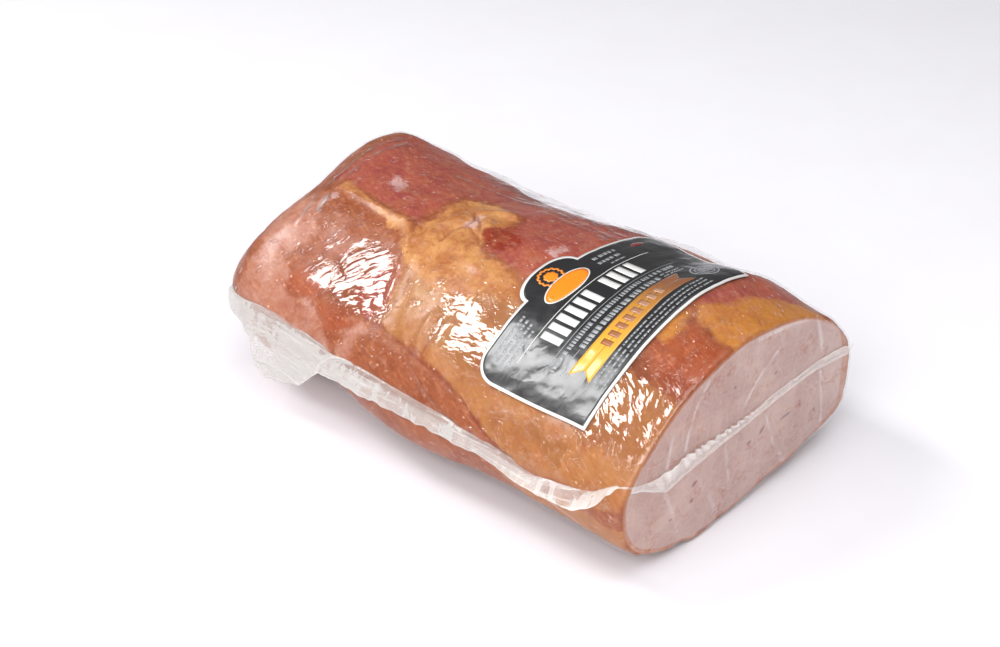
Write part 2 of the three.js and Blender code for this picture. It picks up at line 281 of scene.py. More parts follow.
@dataclass
class SkinGrid:
    """The skin as a fine closed grid, with its normals and its own flat coordinates."""

    shape: LoinShape
    spacing: float = 1.3
    sides: int = 312
    end_apart: float = 300.0
    foot_waves: float = 1.5
    foot_wave_size: float = 15.0
    crease_slopes: Outline = ((-62.0, -1.15), (-40.0, -0.6), (5.0, -0.08), (70.0, 0.1), (98.0, 0.55))
    x: Array = field(init=False)
    opening: Array = field(init=False)
    points: Array = field(init=False)
    normals: Array = field(init=False)
    round: Array = field(init=False)

    def __post_init__(self) -> None:
        """Works out the grid once. The normal is the cross product of the two grid directions, and
        the distance round is summed along each ring from the crown, positive down the left side."""
        x, across, up = self.shape.rings(self.spacing)
        angle = np.linspace(0.0, 2.0 * np.pi, self.sides, endpoint=False)
        self.x = x[:, None] + 0.0 * angle
        self.opening = across[:, None] + 0.0 * angle
        skin = self.shape.skin(x[:, None], across[:, None], up[:, None], angle[None, :])
        self.points = self.uneven_foot(skin)
        about = np.roll(self.points, -1, axis=1) - np.roll(self.points, 1, axis=1)
        self.normals = unit(np.cross(about, np.gradient(self.points, axis=0)))
        steps = np.linalg.norm(np.roll(self.points, -1, axis=1) - self.points, axis=-1)
        walked = np.concatenate([np.zeros((len(x), 1)), np.cumsum(steps, axis=1)[:, :-1]], axis=1)
        walked = walked - walked[:, [self.sides // 4]]
        whole = np.flatnonzero(across > 0.9999)
        self.round = walked[np.clip(np.arange(len(x)), whole[0], whole[-1])]

    def uneven_foot(self, points: Array) -> Array:
        """The points with their lower edge made uneven: noise, in full at the foot and fading upwards,
        moves each along the line from the middle of its section, and none below the floor."""
        waves = self.foot_waves * LatticeNoise(17).at(points, self.foot_wave_size, 2)
        waves = waves * smooth(points[..., 2], 18.0, 4.0)
        outward = unit((points - [0.0, 0.0, self.shape.seam_height]) * [0.0, 1.0, 1.0])
        moved = points + waves[..., None] * outward
        moved[..., 2] = np.maximum(moved[..., 2], 0.0)
        return moved

    def near(self, lines: tuple[Outline, ...], width: float) -> Array:
        """One on any line of the unrolled skin, falling off to either side as a bell."""
        return near_lines(self.x, self.round, lines, width)

    @property
    def on_length(self) -> Array:
        """Where a point lies on the length, clear of the rounded back end and of the cut face."""
        return (self.opening > 0.9) & (self.on_cut < 0.0)

    @property
    def on_end(self) -> Array:
        """Where a point lies on the face of either end."""
        return (self.on_cut > 0.0) | (self.opening < 0.8)

    @property
    def flat(self) -> Array:
        """Coordinates for the meat's fibres: place along and distance round on the length, and the
        view from the end, set well apart, on each end's face."""
        end = level(self.points[..., 1], self.points[..., 2] + self.end_apart)
        return np.where(self.on_end[..., None], end, level(self.x, self.round))

    @property
    def folded(self) -> Array:
        """Coordinates for the film's creases: the same, with the distance round let down by the sum of
        their slopes. They fall steeply at the back, run level in the middle and rise in front."""
        line = np.arange(-160.0, 161.0)
        places, slopes = np.array(self.crease_slopes).T
        fall = np.interp(self.x, line, np.cumsum(np.interp(line, places, slopes)))
        flat = self.flat
        flat[..., 1] -= np.where(self.on_end, 0.0, fall)
        return flat

    @property
    def on_cut(self) -> Array:
        """How far a point is on to the cut face, in millimetres in from its edge; negative outside."""
        shape = self.shape
        inside = 1.0 - shape.cut_edge / (shape.width / 2.0)
        radius = np.linalg.norm((self.points - [0.0, 0.0, shape.seam_height])[..., 1:], axis=-1)
        depth = (inside - self.opening) / np.maximum(self.opening, 0.05) * radius + 0.3
        return np.where(self.x > shape.length / 2.0 - 0.3 * shape.cut_edge, depth, -1.0)


def put_mesh(name: str, points: Array, faces: list[Array], material: Material) -> Piece:
    """Makes a smooth mesh object at the origin from points in millimetres.

    Args:
        name: the piece's name.
        points: the vertices, one in each row.
        faces: arrays of vertex numbers, three or four to a face.
        material: the finish.

    Returns:
        The new object, linked to the scene.
    """
    mesh = bpy.data.meshes.new(name)
    corners = np.concatenate([block.ravel() for block in faces])
    totals = np.concatenate([np.full(len(block), block.shape[1]) for block in faces])
    starts = np.concatenate([[0], np.cumsum(totals)[:-1]])
    mesh.vertices.add(len(points))
    mesh.vertices.foreach_set("co", ((points - MIDDLE) * METRES).astype(np.float32).ravel())
    mesh.loops.add(len(corners))
    mesh.loops.foreach_set("vertex_index", corners.astype(np.int32))
    mesh.polygons.add(len(totals))
    mesh.polygons.foreach_set("loop_start", starts.astype(np.int32))
    mesh.polygons.foreach_set("use_smooth", np.ones(len(totals), dtype=bool))
    mesh.update(calc_edges=True)
    mesh.validate()
    mesh.materials.append(material)
    piece = bpy.data.objects.new(name, mesh)
    bpy.context.scene.collection.objects.link(piece)
    return piece


def put_values(piece: Piece, name: str, values: Array) -> None:
    """Stores one number, or one vector, for each vertex of a piece under a name."""
    vector = values.ndim == 2
    attribute = piece.data.attributes.new(name, "FLOAT_VECTOR" if vector else "FLOAT", "POINT")
    attribute.data.foreach_set("vector" if vector else "value", values.astype(np.float32).ravel())


def closed_grid(points: Array) -> tuple[Array, list[Array]]:
    """Vertices and faces of a grid that closes round its second direction and is shut at each end by
    a fan round the mean of the end's ring."""
    rings, sides = points.shape[:2]
    number = np.arange(rings * sides).reshape(rings, sides)
    beside = np.roll(number, -1, axis=1)
    quads = np.stack([number[:-1], beside[:-1], beside[1:], number[1:]], axis=-1).reshape(-1, 4)
    first, last = rings * sides, rings * sides + 1
    fan_back = np.stack([np.full(sides, first), beside[0], number[0]], axis=-1)
    fan_cut = np.stack([np.full(sides, last), number[-1], beside[-1]], axis=-1)
    vertices = np.concatenate([points.reshape(-1, 3), points[[0, -1]].mean(axis=1)])
    return vertices, [quads, np.concatenate([fan_back, fan_cut])]


def store(piece: Piece, name: str, values: Array) -> None:
    """Stores a field over such a grid on its piece, with the end points taking their ring's mean."""
    ends = values[[0, -1]].mean(axis=1)
    put_values(piece, name, np.concatenate([values.reshape(-1, *ends.shape[1:]), ends]))


def torus_grid(points: Array) -> tuple[Array, list[Array]]:
    """Vertices and quads of a grid that closes in both directions."""
    rings, sides = points.shape[:2]
    number = np.arange(rings * sides).reshape(rings, sides)
    ahead, beside = np.roll(number, -1, axis=0), np.roll(number, -1, axis=1)
    corner = np.roll(ahead, -1, axis=1)
    return points.reshape(-1, 3), [np.stack([number, beside, corner, ahead], axis=-1).reshape(-1, 4)]


def slab_grid(top: Array, normals: Array, thickness: float) -> tuple[Array, list[Array]]:
    """Vertices and quads of a thin closed slab: a grid, the same grid let down along its normals,
    and a wall round the edge.

    Args:
        top: the upper grid of points.
        normals: the normal at each.
        thickness: how far down the lower grid lies.

    Returns:
        The vertices and the quads.
    """
    rows, columns = top.shape[:2]
    upper = np.arange(rows * columns).reshape(rows, columns)
    face = np.stack([upper[:-1, :-1], upper[1:, :-1], upper[1:, 1:], upper[:-1, 1:]], axis=-1).reshape(-1, 4)
    under = (face + rows * columns)[:, ::-1]
    rim = np.concatenate([upper[0, :-1], upper[:-1, -1], upper[-1, :0:-1], upper[:0:-1, 0]])
    after = np.roll(rim, -1)
    wall = np.stack([rim, after, after + rows * columns, rim + rows * columns], axis=-1)
    points = np.concatenate([top.reshape(-1, 3), (top - thickness * normals).reshape(-1, 3)])
    return points, [face, under, wall]


class Tree:
    """Short ways to place and join nodes in one node tree."""

    def __init__(self, tree: bpy.types.NodeTree) -> None:
        """Keeps the tree that the nodes go into."""
        self.tree = tree

    def add(self, kind: str, inputs: Inputs | None = None, **settings: object) -> Node:
        """Places a node.

        Args:
            kind: the node's type, without the words ShaderNode.
            inputs: for each socket, by name or number, what it is joined to or set to.
            settings: the node's own settings.

        Returns:
            The node.
        """
        node = self.tree.nodes.new("ShaderNode" + kind)
        for key, value in settings.items():
            setattr(node, key, value)
        self.feed(node, inputs or {})
        return node

    def feed(self, node: Node, inputs: Inputs) -> None:
        """Joins a node's inputs, by name or number, to other nodes' sockets, or sets them to values."""
        for key, value in inputs.items():
            if isinstance(value, Socket):
                self.tree.links.new(value, node.inputs[key])
            else:
                node.inputs[key].default_value = value

    def math(self, operation: str, first: object, second: object = 0.0, third: object = 0.0) -> Socket:
        """The result of one sum, product or other operation on two values, or on three."""
        return self.add("Math", {0: first, 1: second, 2: third}, operation=operation).outputs[0]

    def times(self, first: object, second: object, plus: object = 0.0) -> Socket:
        """The product of two values, with a third added to it."""
        return self.math("MULTIPLY_ADD", first, second, plus)

    def blend(self, share: object, first: object, second: object) -> Socket:
        """A colour that goes from the first to the second as share goes from 0 to 1."""
        return self.add("Mix", {0: share, 6: first, 7: second}, data_type="RGBA").outputs[2]

    def lay(self, colour: object, mask: object, share: object, other: object) -> Socket:
        """A colour with a share of another laid over it where the mask is one."""
        return self.blend(self.times(mask, share), colour, other)

    def ramp(self, value: object, start: object, end: object) -> Socket:
        """A share from 0 where value is start to 1 where it is end, eased at both."""
        inputs = {0: value, 1: start, 2: end}
        return self.add("MapRange", inputs, interpolation_type="SMOOTHSTEP").outputs[0]

    def noise(self, place: object, size: float, detail: float = 3.0, rough: float = 0.55) -> Socket:
        """Noise from 0 to 1 whose features are about size wide, in the place's units."""
        inputs = {"Vector": place, "Scale": 1.0 / size, "Detail": detail, "Roughness": rough}
        return self.add("TexNoise", inputs).outputs[0]

    def bump(self, height: object, strength: float = 1.0, scale: float = 1.0) -> Socket:
        """The normal of a surface raised by a height, which a scale turns into millimetres."""
        inputs = {"Height": height, "Strength": strength, "Distance": scale * METRES}
        return self.add("Bump", inputs).outputs[0]

    def value_of(self, name: str) -> Socket:
        """The number stored on the piece under a name."""
        return self.add("Attribute", attribute_name=name).outputs["Fac"]

    def place_of(self, name: str) -> Socket:
        """The vector stored on the piece under a name."""
        return self.add("Attribute", attribute_name=name).outputs["Vector"]

    def place(self) -> Socket:
        """The object's own coordinates, in millimetres."""
        where = self.add("TexCoord").outputs["Object"]
        return self.add("VectorMath", {0: where, "Scale": 1.0 / METRES}, operation="SCALE").outputs[0]

    def drawn(self, place: object, length: float, width: float, turn: float = 0.0) -> Socket:
        """Coordinates in which a feature as long as one length and as wide as one width, lying at a
        turn in degrees, is one unit each way."""
        rotation = (0.0, 0.0, float(np.radians(turn)))
        inputs = {"Vector": place, "Rotation": rotation, "Scale": (length, width, width)}
        return self.add("Mapping", inputs, vector_type="TEXTURE").outputs[0]

    def group(self, effect: bpy.types.NodeTree, inputs: Inputs) -> Socket:
        """Places a shared effect with its own values, and gives its one output."""
        return self.add("Group", inputs, node_tree=effect).outputs[0]


def new_effect(
    name: str, place: str, numbers: dict[str, float], result: str
) -> tuple[Tree, dict[str, Socket], Node]:
    """Starts a shared effect.

    Args:
        name: the effect's name.
        place: the name of its input for coordinates.
        numbers: its other inputs and their plain values.
        result: the name of its one output.

    Returns:
        The tree, its inner input sockets by name, and its inner output node.
    """
    tree = bpy.data.node_groups.new(name, "ShaderNodeTree")
    tree.interface.new_socket(name=place, in_out="INPUT", socket_type="NodeSocketVector")
    for key, value in numbers.items():
        socket = tree.interface.new_socket(name=key, in_out="INPUT", socket_type="NodeSocketFloat")
        socket.default_value = value
    tree.interface.new_socket(name=result, in_out="OUTPUT", socket_type="NodeSocketFloat")
    entry = tree.nodes.new("NodeGroupInput")
    leave = tree.nodes.new("NodeGroupOutput")
    return Tree(tree), {key: entry.outputs[key] for key in (place, *numbers)}, leave


class Effects:
    """The shader effects that more than one finish uses, each made once."""

    def __init__(self) -> None:
        """Makes the effects."""
        self.torn_edge = self.make_torn_edge()
        self.flecks = self.make_flecks()
        self.crinkle = self.make_crinkle()

    @staticmethod
    def make_torn_edge() -> bpy.types.NodeTree:
        """A zone's mask from its smooth stored field: half is its edge, and noise at two sizes frays it."""
        numbers = {"Field": 0.0, "Fray": 0.35, "Soft": 0.05}
        tree, given, out = new_effect("torn_edge", "Place", numbers, "Mask")
        coarse = tree.math("SUBTRACT", tree.noise(given["Place"], 9.0, 4.0, 0.62), 0.5)
        fine = tree.math("SUBTRACT", tree.noise(given["Place"], 1.8, 3.0, 0.6), 0.5)
        shift = tree.times(fine, 0.6, coarse)
        moved = tree.times(shift, given["Fray"], given["Field"])
        low = tree.math("SUBTRACT", 0.5, given["Soft"])
        high = tree.math("ADD", 0.5, given["Soft"])
        tree.feed(out, {"Mask": tree.ramp(moved, low, high)})
        return tree.tree

    @staticmethod
    def make_flecks() -> bpy.types.NodeTree:
        """Small scattered specks: the middles of random cells, where a second noise lets them show."""
        numbers = {"Size": 4.0, "Reach": 0.2, "Share": 0.5}
        tree, given, out = new_effect("flecks", "Place", numbers, "Mask")
        scale = tree.math("DIVIDE", 1.0, given["Size"])
        bent = tree.add("TexNoise", {"Vector": given["Place"], "Scale": 0.8, "Detail": 2.0}).outputs[1]
        moved = tree.add("VectorMath", {0: bent, 1: given["Place"]}, operation="ADD").outputs[0]
        cell = tree.add("TexVoronoi", {"Vector": moved, "Scale": scale})
        spot = tree.ramp(cell.outputs["Distance"], given["Reach"], 0.0)
        chosen = tree.add("SeparateColor", {0: cell.outputs["Color"]}).outputs[0]
        kept = tree.math("LESS_THAN", chosen, given["Share"])
        tree.feed(out, {"Mask": tree.times(spot, kept)})
        return tree.tree

    @staticmethod
    def make_crinkle() -> bpy.types.NodeTree:
        """The height of shrunk film in millimetres: soft waves, and creases drawn out along the place
        that is given, in three layers, each the size of a noise less its middle."""
        numbers = {"Waves": 1.0, "Creases": 1.0}
        tree, given, out = new_effect("film_crinkle", "Skin", numbers, "Height")
        slow = tree.add("TexNoise", {"Vector": given["Skin"], "Scale": 1.0 / 11.0, "Detail": 2.0}).outputs[1]
        sway = tree.add("VectorMath", {0: slow, "Scale": 10.0}, operation="SCALE").outputs[0]
        bent = tree.add("VectorMath", {0: given["Skin"], 1: sway}, operation="ADD").outputs[0]
        creases = 0.0
        layers = ((0.0, 24.0, 7.6, 0.85), (8.0, 14.0, 3.2, 0.28), (58.0, 18.0, 8.0, 0.75))
        for turn, length, width, height in layers:
            place = tree.drawn(bent, length, width, turn)
            wave = tree.noise(place, 1.0, 1.0, 0.4)
            fold = tree.math("ABSOLUTE", tree.math("SUBTRACT", wave, 0.5))
            creases = tree.times(fold, height, creases)
        soft = tree.drawn(bent, 20.0, 9.0, -12.0)
        wave = tree.noise(soft, 1.0, 1.0, 0.4)
        waves = tree.times(wave, given["Waves"])
        tree.feed(out, {"Height": tree.times(creases, given["Creases"], waves)})
        return tree.tree


def new_material(name: str) -> tuple[Material, Tree, Node]:
    """Starts a material with one principled shader."""
    material = bpy.data.materials.new(name)
    material.use_nodes = True
    shader = material.node_tree.nodes["Principled BSDF"]
    return material, Tree(material.node_tree), shader


class Zone(Enum):
    """The parts of the loin's surface that differ in colour. Each is stored as a field on the skin."""

    FAT = "zone_fat"
    GOLD = "zone_gold"
    YELLOW = "zone_yellow"
    TAN = "zone_tan"
    MAUVE = "zone_mauve"
    PALE = "zone_pale"
    BURNT = "zone_burnt"
    SPOT = "zone_spot"
    BLOOM = "zone_bloom"


def leg_distance(x: Array, y: Array, corners: Array, closed: bool = False) -> Array:
    """The least distance to the legs between corners: the distance to each leg's nearest place, which
    is at the share (p - start) . leg / (leg . leg) of it, kept from 0 to 1.

    Args:
        x, y: the places.
        corners: the corners in order.
        closed: whether a leg joins the last corner to the first.

    Returns:
        The distance at each place.
    """
    nearest = np.full(x.shape, np.inf)
    for start, stop in zip(corners, np.roll(corners, -1, axis=0) if closed else corners[1:]):
        leg = stop - start
        share = np.clip(((x - start[0]) * leg[0] + (y - start[1]) * leg[1]) / max(leg @ leg, 1e-9), 0.0, 1.0)
        nearest = np.minimum(nearest, np.hypot(x - start[0] - share * leg[0], y - start[1] - share * leg[1]))
    return nearest


def inside_distance(x: Array, y: Array, outlines: tuple[Outline, ...]) -> Array:
    """How far in a place lies from the edge of closed outlines, negative outside them all: the least
    distance to a side, with the sign from how many sides a line to the right crosses.

    Args:
        x, y: the places.
        outlines: the corners of each in order.

    Returns:
        The signed distance at each place.
    """
    deepest = np.full(x.shape, -np.inf)
    for outline in outlines:
        corners = np.array(outline, dtype=float)
        crossed = np.zeros(x.shape, dtype=bool)
        for start, stop in zip(corners, np.roll(corners, -1, axis=0)):
            run = stop - start
            spanned = (start[1] > y) != (stop[1] > y)
            reach = start[0] + (y - start[1]) * run[0] / (run[1] if abs(run[1]) > 1e-9 else 1e-9)
            crossed ^= spanned & (x < reach)
        nearest = leg_distance(x, y, corners, closed=True)
        deepest = np.maximum(deepest, np.where(crossed, nearest, -nearest))
    return deepest


def near_lines(x: Array, y: Array, lines: tuple[Outline, ...], width: float) -> Array:
    """One on any of the lines, falling off to either side as a bell: e to the minus square of the
    distance over the bell's half width."""
    nearest = np.minimum.reduce([leg_distance(x, y, np.array(line, dtype=float)) for line in lines])
    return np.exp(-((nearest / width) ** 2))


@dataclass(frozen=True)
class ZoneMap:
    """Where each zone lies: outlines on the unrolled skin, each corner a place along and a distance
    round from the crown, positive down the left side."""

    warp: float = 3.2
    reach: float = 12.0
    outlines: dict[Zone, tuple[Outline, ...]] = field(default_factory=lambda: {
        Zone.MAUVE: (
            ((-4, 14), (20, 21), (38, 27), (60, 10), (60, -75), (-20, -85), (-20, -22), (-6, -13),
             (-3, -4), (0, 2)),
            ((-106, 16), (-46, 17), (-47, -15), (-36, -24), (-20, -24), (-20, -85), (-112, -80)),
            ((102.7, -3), (107.7, -6.7), (112.7, -20), (114.3, -33), (125, -48), (106, -66),
             (96, -60), (98, -20)),
            ((-44, 40), (-24, 44), (-20, 64), (-32, 71), (-46, 62)),
        ),
        Zone.FAT: (
            ((-20.7, 70), (2.7, 75), (22.7, 78.7), (37.7, 82.5), (46, 86.7), (54.3, 90.8), (64.3, 95),
             (72.7, 97), (131, 96), (131, 44), (101, 42), (60, 20), (38, 36), (-10, 38), (-25, 44),
             (-23, 58)),
            ((60, 108), (131, 104), (131, 122), (90, 124)),
        ),
        Zone.PALE: (
            ((-112, 57), (-116, 108), (-60, 92), (-45, 91), (-50, 83), (-70, 80), (-87, 77),
             (-88, 70), (-95, 64)),
            ((-38, 90), (-30, 91), (-27, 77), (-33, 74)),
            ((-118, 57), (-96, 62), (-90, 48), (-96, 36), (-108, 26), (-120, 28)),
        ),
        Zone.GOLD: (
            ((-43, 20), (-40.7, 26.7), (-37.3, 33.3), (-32.3, 38.3), (-25.7, 41.7), (-17.3, 45),
             (-4, 46.7), (9.3, 45), (19.3, 40), (27.7, 36.7), (34, 33), (27.7, 26.7), (19.3, 22.5),
             (2.7, 20), (-5.7, 15), (-10.7, 8.3), (-14, 3.3), (-5.7, -4), (-10.7, -11.7),
             (-20.7, -19), (-29, -21), (-37.3, -18.3), (-43, -11.7), (-44.8, -3.3), (-42.7, 3.3),
             (-42, 11.7)),
            ((-99, 18.4), (-84, 19.4), (-66, 19.8), (-45, 20), (-41, 27), (-60, 23.8), (-80, 22.6),
             (-98, 22.4)),
        ),
        Zone.TAN: (
            ((-30, 43), (-27, 50), (-24, 58), (-20, 68), (0, 71), (16, 68), (30, 62), (42, 50),
             (42, 30), (20, 20), (-20, 20)),
        ),
        Zone.YELLOW: (
            ((99, 22), (106, 22), (107.7, 13), (102.7, 4), (96, 4)),
            ((112.7, 5), (107, 3), (104, -3), (109, -9), (112, -20), (113, -33), (117, -46),
             (131, -58), (131, 10), (120, 8)),
        ),
        Zone.BURNT: (
            ((-87.3, 73.3), (-80.7, 75), (-67.3, 76.7), (-65.7, 70), (-62.3, 66.7), (-74, 65),
             (-85.7, 68.3)),
            ((-64, 75.8), (-54, 81.7), (-42.3, 81.7), (-34, 76.7), (-40.7, 71.7), (-50.7, 71.7),
             (-59, 68.3)),
            ((9, 60), (8, 66), (9, 73), (11.5, 72), (11, 60)),
            ((101, 24), (104, 34), (116, 42), (127, 44), (131, 30), (131, 14), (118, 11), (109, 8),
             (107, 16)),
        ),
        Zone.SPOT: (
            ((-10.7, 6.7), (-4, 11.7), (4.3, 13.3), (11, 8.3), (9.3, 3.3), (2.7, 0), (-4, -6.7),
             (-10.7, -3.3)),
        ),
        Zone.BLOOM: (
            ((23, 3), (30, 4), (31, -6), (25, -8)), ((-80, 4), (-72, 5), (-70, -3), (-78, -4)),
            ((-25, 6), (-17, 4), (-18, -2), (-24, -3)), ((-99, 33), (-95, 34), (-94, 26), (-98, 25)),
        ),
    })

    def field(self, zone: Zone, x: Array, round_about: Array, noise: LatticeNoise) -> Array:
        """A smooth field that is over a half inside the zone: half, plus the distance in from its
        outlines over twice the reach, read at a place moved about by noise."""
        flat = level(x, round_about)
        moved_x = x + self.warp * noise.at(flat + 50.0, 15.0, 2)
        moved_round = round_about + self.warp * noise.at(flat - 90.0, 15.0, 2)
        deepest = inside_distance(moved_x, moved_round, self.outlines[zone])
        return np.clip(0.5 + 0.5 * deepest / self.reach, 0.0, 1.0)


@dataclass(frozen=True)
class MeatFinish:
    """Cooked pork: orange-brown fat cover and red-brown muscle outside, pale pink where it is cut."""

    muscle: Pair = (srgb(118, 54, 26), srgb(148, 85, 53))
    mauve: Pair = (srgb(130, 52, 53), srgb(161, 86, 64))
    fat: Pair = (srgb(137, 77, 38), srgb(168, 116, 65))
    tan: Pair = (srgb(149, 93, 48), srgb(177, 138, 94))
    gold: Pair = (srgb(147, 80, 33), srgb(196, 144, 87))
    yellow: Pair = (srgb(155, 86, 28), srgb(185, 128, 59))
    pale: Pair = (srgb(152, 94, 77), srgb(178, 133, 114))
    burnt: Pair = (srgb(134, 53, 22), srgb(151, 72, 37))
    spot: Pair = (srgb(114, 23, 6), srgb(131, 41, 17))
    bloom: Pair = (srgb(179, 144, 141), srgb(208, 184, 185))
    cut: Pair = (srgb(171, 127, 114), srgb(190, 154, 141))
    cut_grey: Colour = srgb(158, 119, 107)
    rind: Pair = (srgb(159, 85, 45), srgb(180, 119, 77))
    speck: Colour = srgb(112, 44, 44)
    # Dark colour laid along the grooves: painted shade in those hollows.
    crease: Colour = srgb(112, 40, 28)
    # Pale fibre colour: partly real grain, partly painted glints slanted like the film's light-catching
    # strokes.
    fibre_and_glint: Colour = srgb(204, 138, 100)
    fleck: Colour = srgb(212, 148, 108)
    # Near-white of painted glints: short strokes where the film would catch the light.
    painted_glint: Colour = srgb(236, 204, 184)
    cut_grain: Colour = srgb(222, 196, 188)
    thread: Colour = srgb(216, 188, 178)
    roughness: float = 0.5

    def material(self, effects: Effects) -> Material:
        """The meat's material: zones laid one over another with frayed edges, fibres, flecks and painted
        glints over them, painted shade along the grooves, and on the cut face a mottled pink inside a browned
        edge.

        Args:
            effects: the shared effects.

        Returns:
            The material.
        """
        material, tree, shader = new_material("cooked_meat")
        place = tree.place()
        skin = tree.place_of("skin_place")
        broad = tree.ramp(tree.noise(place, 14.0, 4.0, 0.6), 0.36, 0.64)
        close = tree.ramp(tree.noise(place, 2.6, 4.0, 0.65), 0.34, 0.66)
        grain = tree.ramp(tree.noise(place, 0.9, 3.0, 0.6), 0.3, 0.7)
        tone = tree.times(close, 0.42, tree.times(broad, 0.38))
        tone = tree.times(grain, 0.2, tone)
        colour = tree.blend(tone, *self.muscle)
        even = tree.times(tone, 0.5, 0.28)
        layered = tree.times(broad, 0.6, tree.times(close, 0.24, 0.08))
        for zone, pair, fray, soft, strength, depth in (
            (Zone.MAUVE, self.mauve, 0.3, 0.07, 1.0, tone),
            (Zone.FAT, self.fat, 0.2, 0.035, 0.95, even),
            (Zone.PALE, self.pale, 0.4, 0.1, 0.8, tone),
            (Zone.BURNT, self.burnt, 0.35, 0.12, 0.75, tone),
            (Zone.TAN, self.tan, 0.6, 0.3, 0.6, layered),
            (Zone.YELLOW, self.yellow, 0.3, 0.1, 1.0, even),
            (Zone.GOLD, self.gold, 0.26, 0.06, 0.95, layered),
            (Zone.SPOT, self.spot, 0.4, 0.06, 0.85, tone),
            (Zone.BLOOM, self.bloom, 0.5, 0.05, 0.6, tone),
        ):
            field_of = tree.value_of(zone.value)
            inputs = {"Field": field_of, "Place": place, "Fray": fray, "Soft": soft}
            mask = tree.group(effects.torn_edge, inputs)
            colour = tree.lay(colour, mask, strength, tree.blend(depth, *pair))
        colour = self.with_drift(tree, colour, place)
        colour = self.with_fibres(tree, effects, colour, skin, place)
        # Painted shade: the grooves are darkened as if shade lay in them.
        crease = tree.ramp(tree.value_of("crease"), 0.3, 0.8)
        colour = tree.lay(colour, crease, 0.42, self.crease)
        on_cut = tree.ramp(tree.value_of("cut_depth"), -0.4, 0.4)
        colour = tree.blend(on_cut, colour, self.cut_colour(tree, effects, place))
        height = tree.times(close, 0.8, tree.noise(place, 1.3, 3.0, 0.6))
        tree.feed(shader, {
            "Base Color": colour,
            "Roughness": self.roughness,
            "Specular IOR Level": 0.2,
            "Subsurface Weight": 0.1,
            "Subsurface Radius": (1.0, 0.45, 0.3),
            "Subsurface Scale": 0.002,
            "Normal": tree.bump(height, 0.35, 0.25),
        })
        return material

    def with_drift(self, tree: Tree, colour: Socket, place: Socket) -> Socket:
        """Lets the zones run into one another: patches of plain muscle and of pale pink in them all."""
        for size, low, high, share, other in (
            (8.0, 0.5, 0.6, 0.36, self.muscle[1]),
            (5.0, 0.54, 0.64, 0.24, self.pale[1]),
            (3.0, 0.56, 0.68, 0.2, self.burnt[1]),
        ):
            moved = tree.add("VectorMath", {0: place, 1: (17.0 * size, 5.0, 3.0)}, operation="ADD").outputs[0]
            patch = tree.ramp(tree.noise(moved, size, 5.0, 0.62), low, high)
            colour = tree.lay(colour, patch, share, other)
        return colour

    def with_fibres(
        self, tree: Tree, effects: Effects, colour: Socket, skin: Socket, place: Socket
    ) -> Socket:
        """Lays drawn-out fibres and veins, pale flecks, painted glints and dark spots over the browned
        outside:
        the glints are short near-white strokes where the film would catch the light, and the pale fibres,
        slanted like them, are partly real grain and partly painted glints.
        """
        # Pale fibres, partly real grain and partly painted glints, slanted like the film's glint strokes.
        drawn = tree.drawn(skin, 6.0, 1.3, 20.0)
        fibre_and_glint = tree.ramp(tree.noise(drawn, 1.0, 3.0, 0.5), 0.54, 0.7)
        colour = tree.lay(colour, fibre_and_glint, 0.22, self.fibre_and_glint)
        veins = tree.drawn(skin, 9.0, 1.6, 34.0)
        shade = tree.ramp(tree.noise(veins, 1.0, 4.0, 0.5), 0.56, 0.72)
        colour = tree.lay(colour, shade, 0.4, self.burnt[0])
        pale = tree.group(effects.flecks, {"Place": place, "Size": 3.4, "Reach": 0.3, "Share": 0.4})
        colour = tree.lay(colour, pale, 0.4, self.fleck)
        # Painted glints: short near-white strokes laid into the colour where the film would catch the light.
        inputs = {"Place": tree.drawn(skin, 2.0, 1.0, 24.0), "Size": 4.2, "Reach": 0.13, "Share": 0.5}
        painted_glint = tree.group(effects.flecks, inputs)
        colour = tree.lay(colour, painted_glint, 0.75, self.painted_glint)
        dark = tree.group(effects.flecks, {"Place": place, "Size": 6.5, "Reach": 0.16, "Share": 0.45})
        return tree.lay(colour, dark, 0.6, self.burnt[0])

    def cut_colour(self, tree: Tree, effects: Effects, place: Socket) -> Socket:
        """The cut face: pink mottled at three sizes, with fine pale threads, dark pores and its rind."""
        broad = tree.ramp(tree.noise(place, 26.0, 3.0, 0.55), 0.36, 0.66)
        close = tree.ramp(tree.noise(place, 5.0, 4.0, 0.6), 0.3, 0.7)
        grain = tree.ramp(tree.noise(place, 1.2, 3.0, 0.6), 0.3, 0.7)
        colour = tree.blend(broad, *self.cut)
        colour = tree.lay(colour, close, 0.35, self.cut_grey)
        colour = tree.lay(colour, grain, 0.16, self.cut_grain)
        cells = {"Vector": place, "Scale": 1.0 / 13.0}
        thread = tree.add("TexVoronoi", cells, feature="DISTANCE_TO_EDGE").outputs[0]
        line = tree.times(tree.ramp(thread, 0.05, 0.0), tree.times(close, 0.25))
        colour = tree.blend(line, colour, self.thread)
        pores = tree.group(effects.flecks, {"Place": place, "Size": 6.5, "Reach": 0.11, "Share": 0.3})
        marks = tree.ramp(tree.value_of("cut_marks"), 0.25, 0.7)
        colour = tree.blend(tree.times(tree.math("MAXIMUM", pores, marks), 0.75), colour, self.speck)
        rind = tree.group(effects.torn_edge, {"Field": tree.value_of("rind"), "Place": place, "Fray": 0.3})
        return tree.lay(colour, rind, 0.85, tree.blend(close, *self.rind))


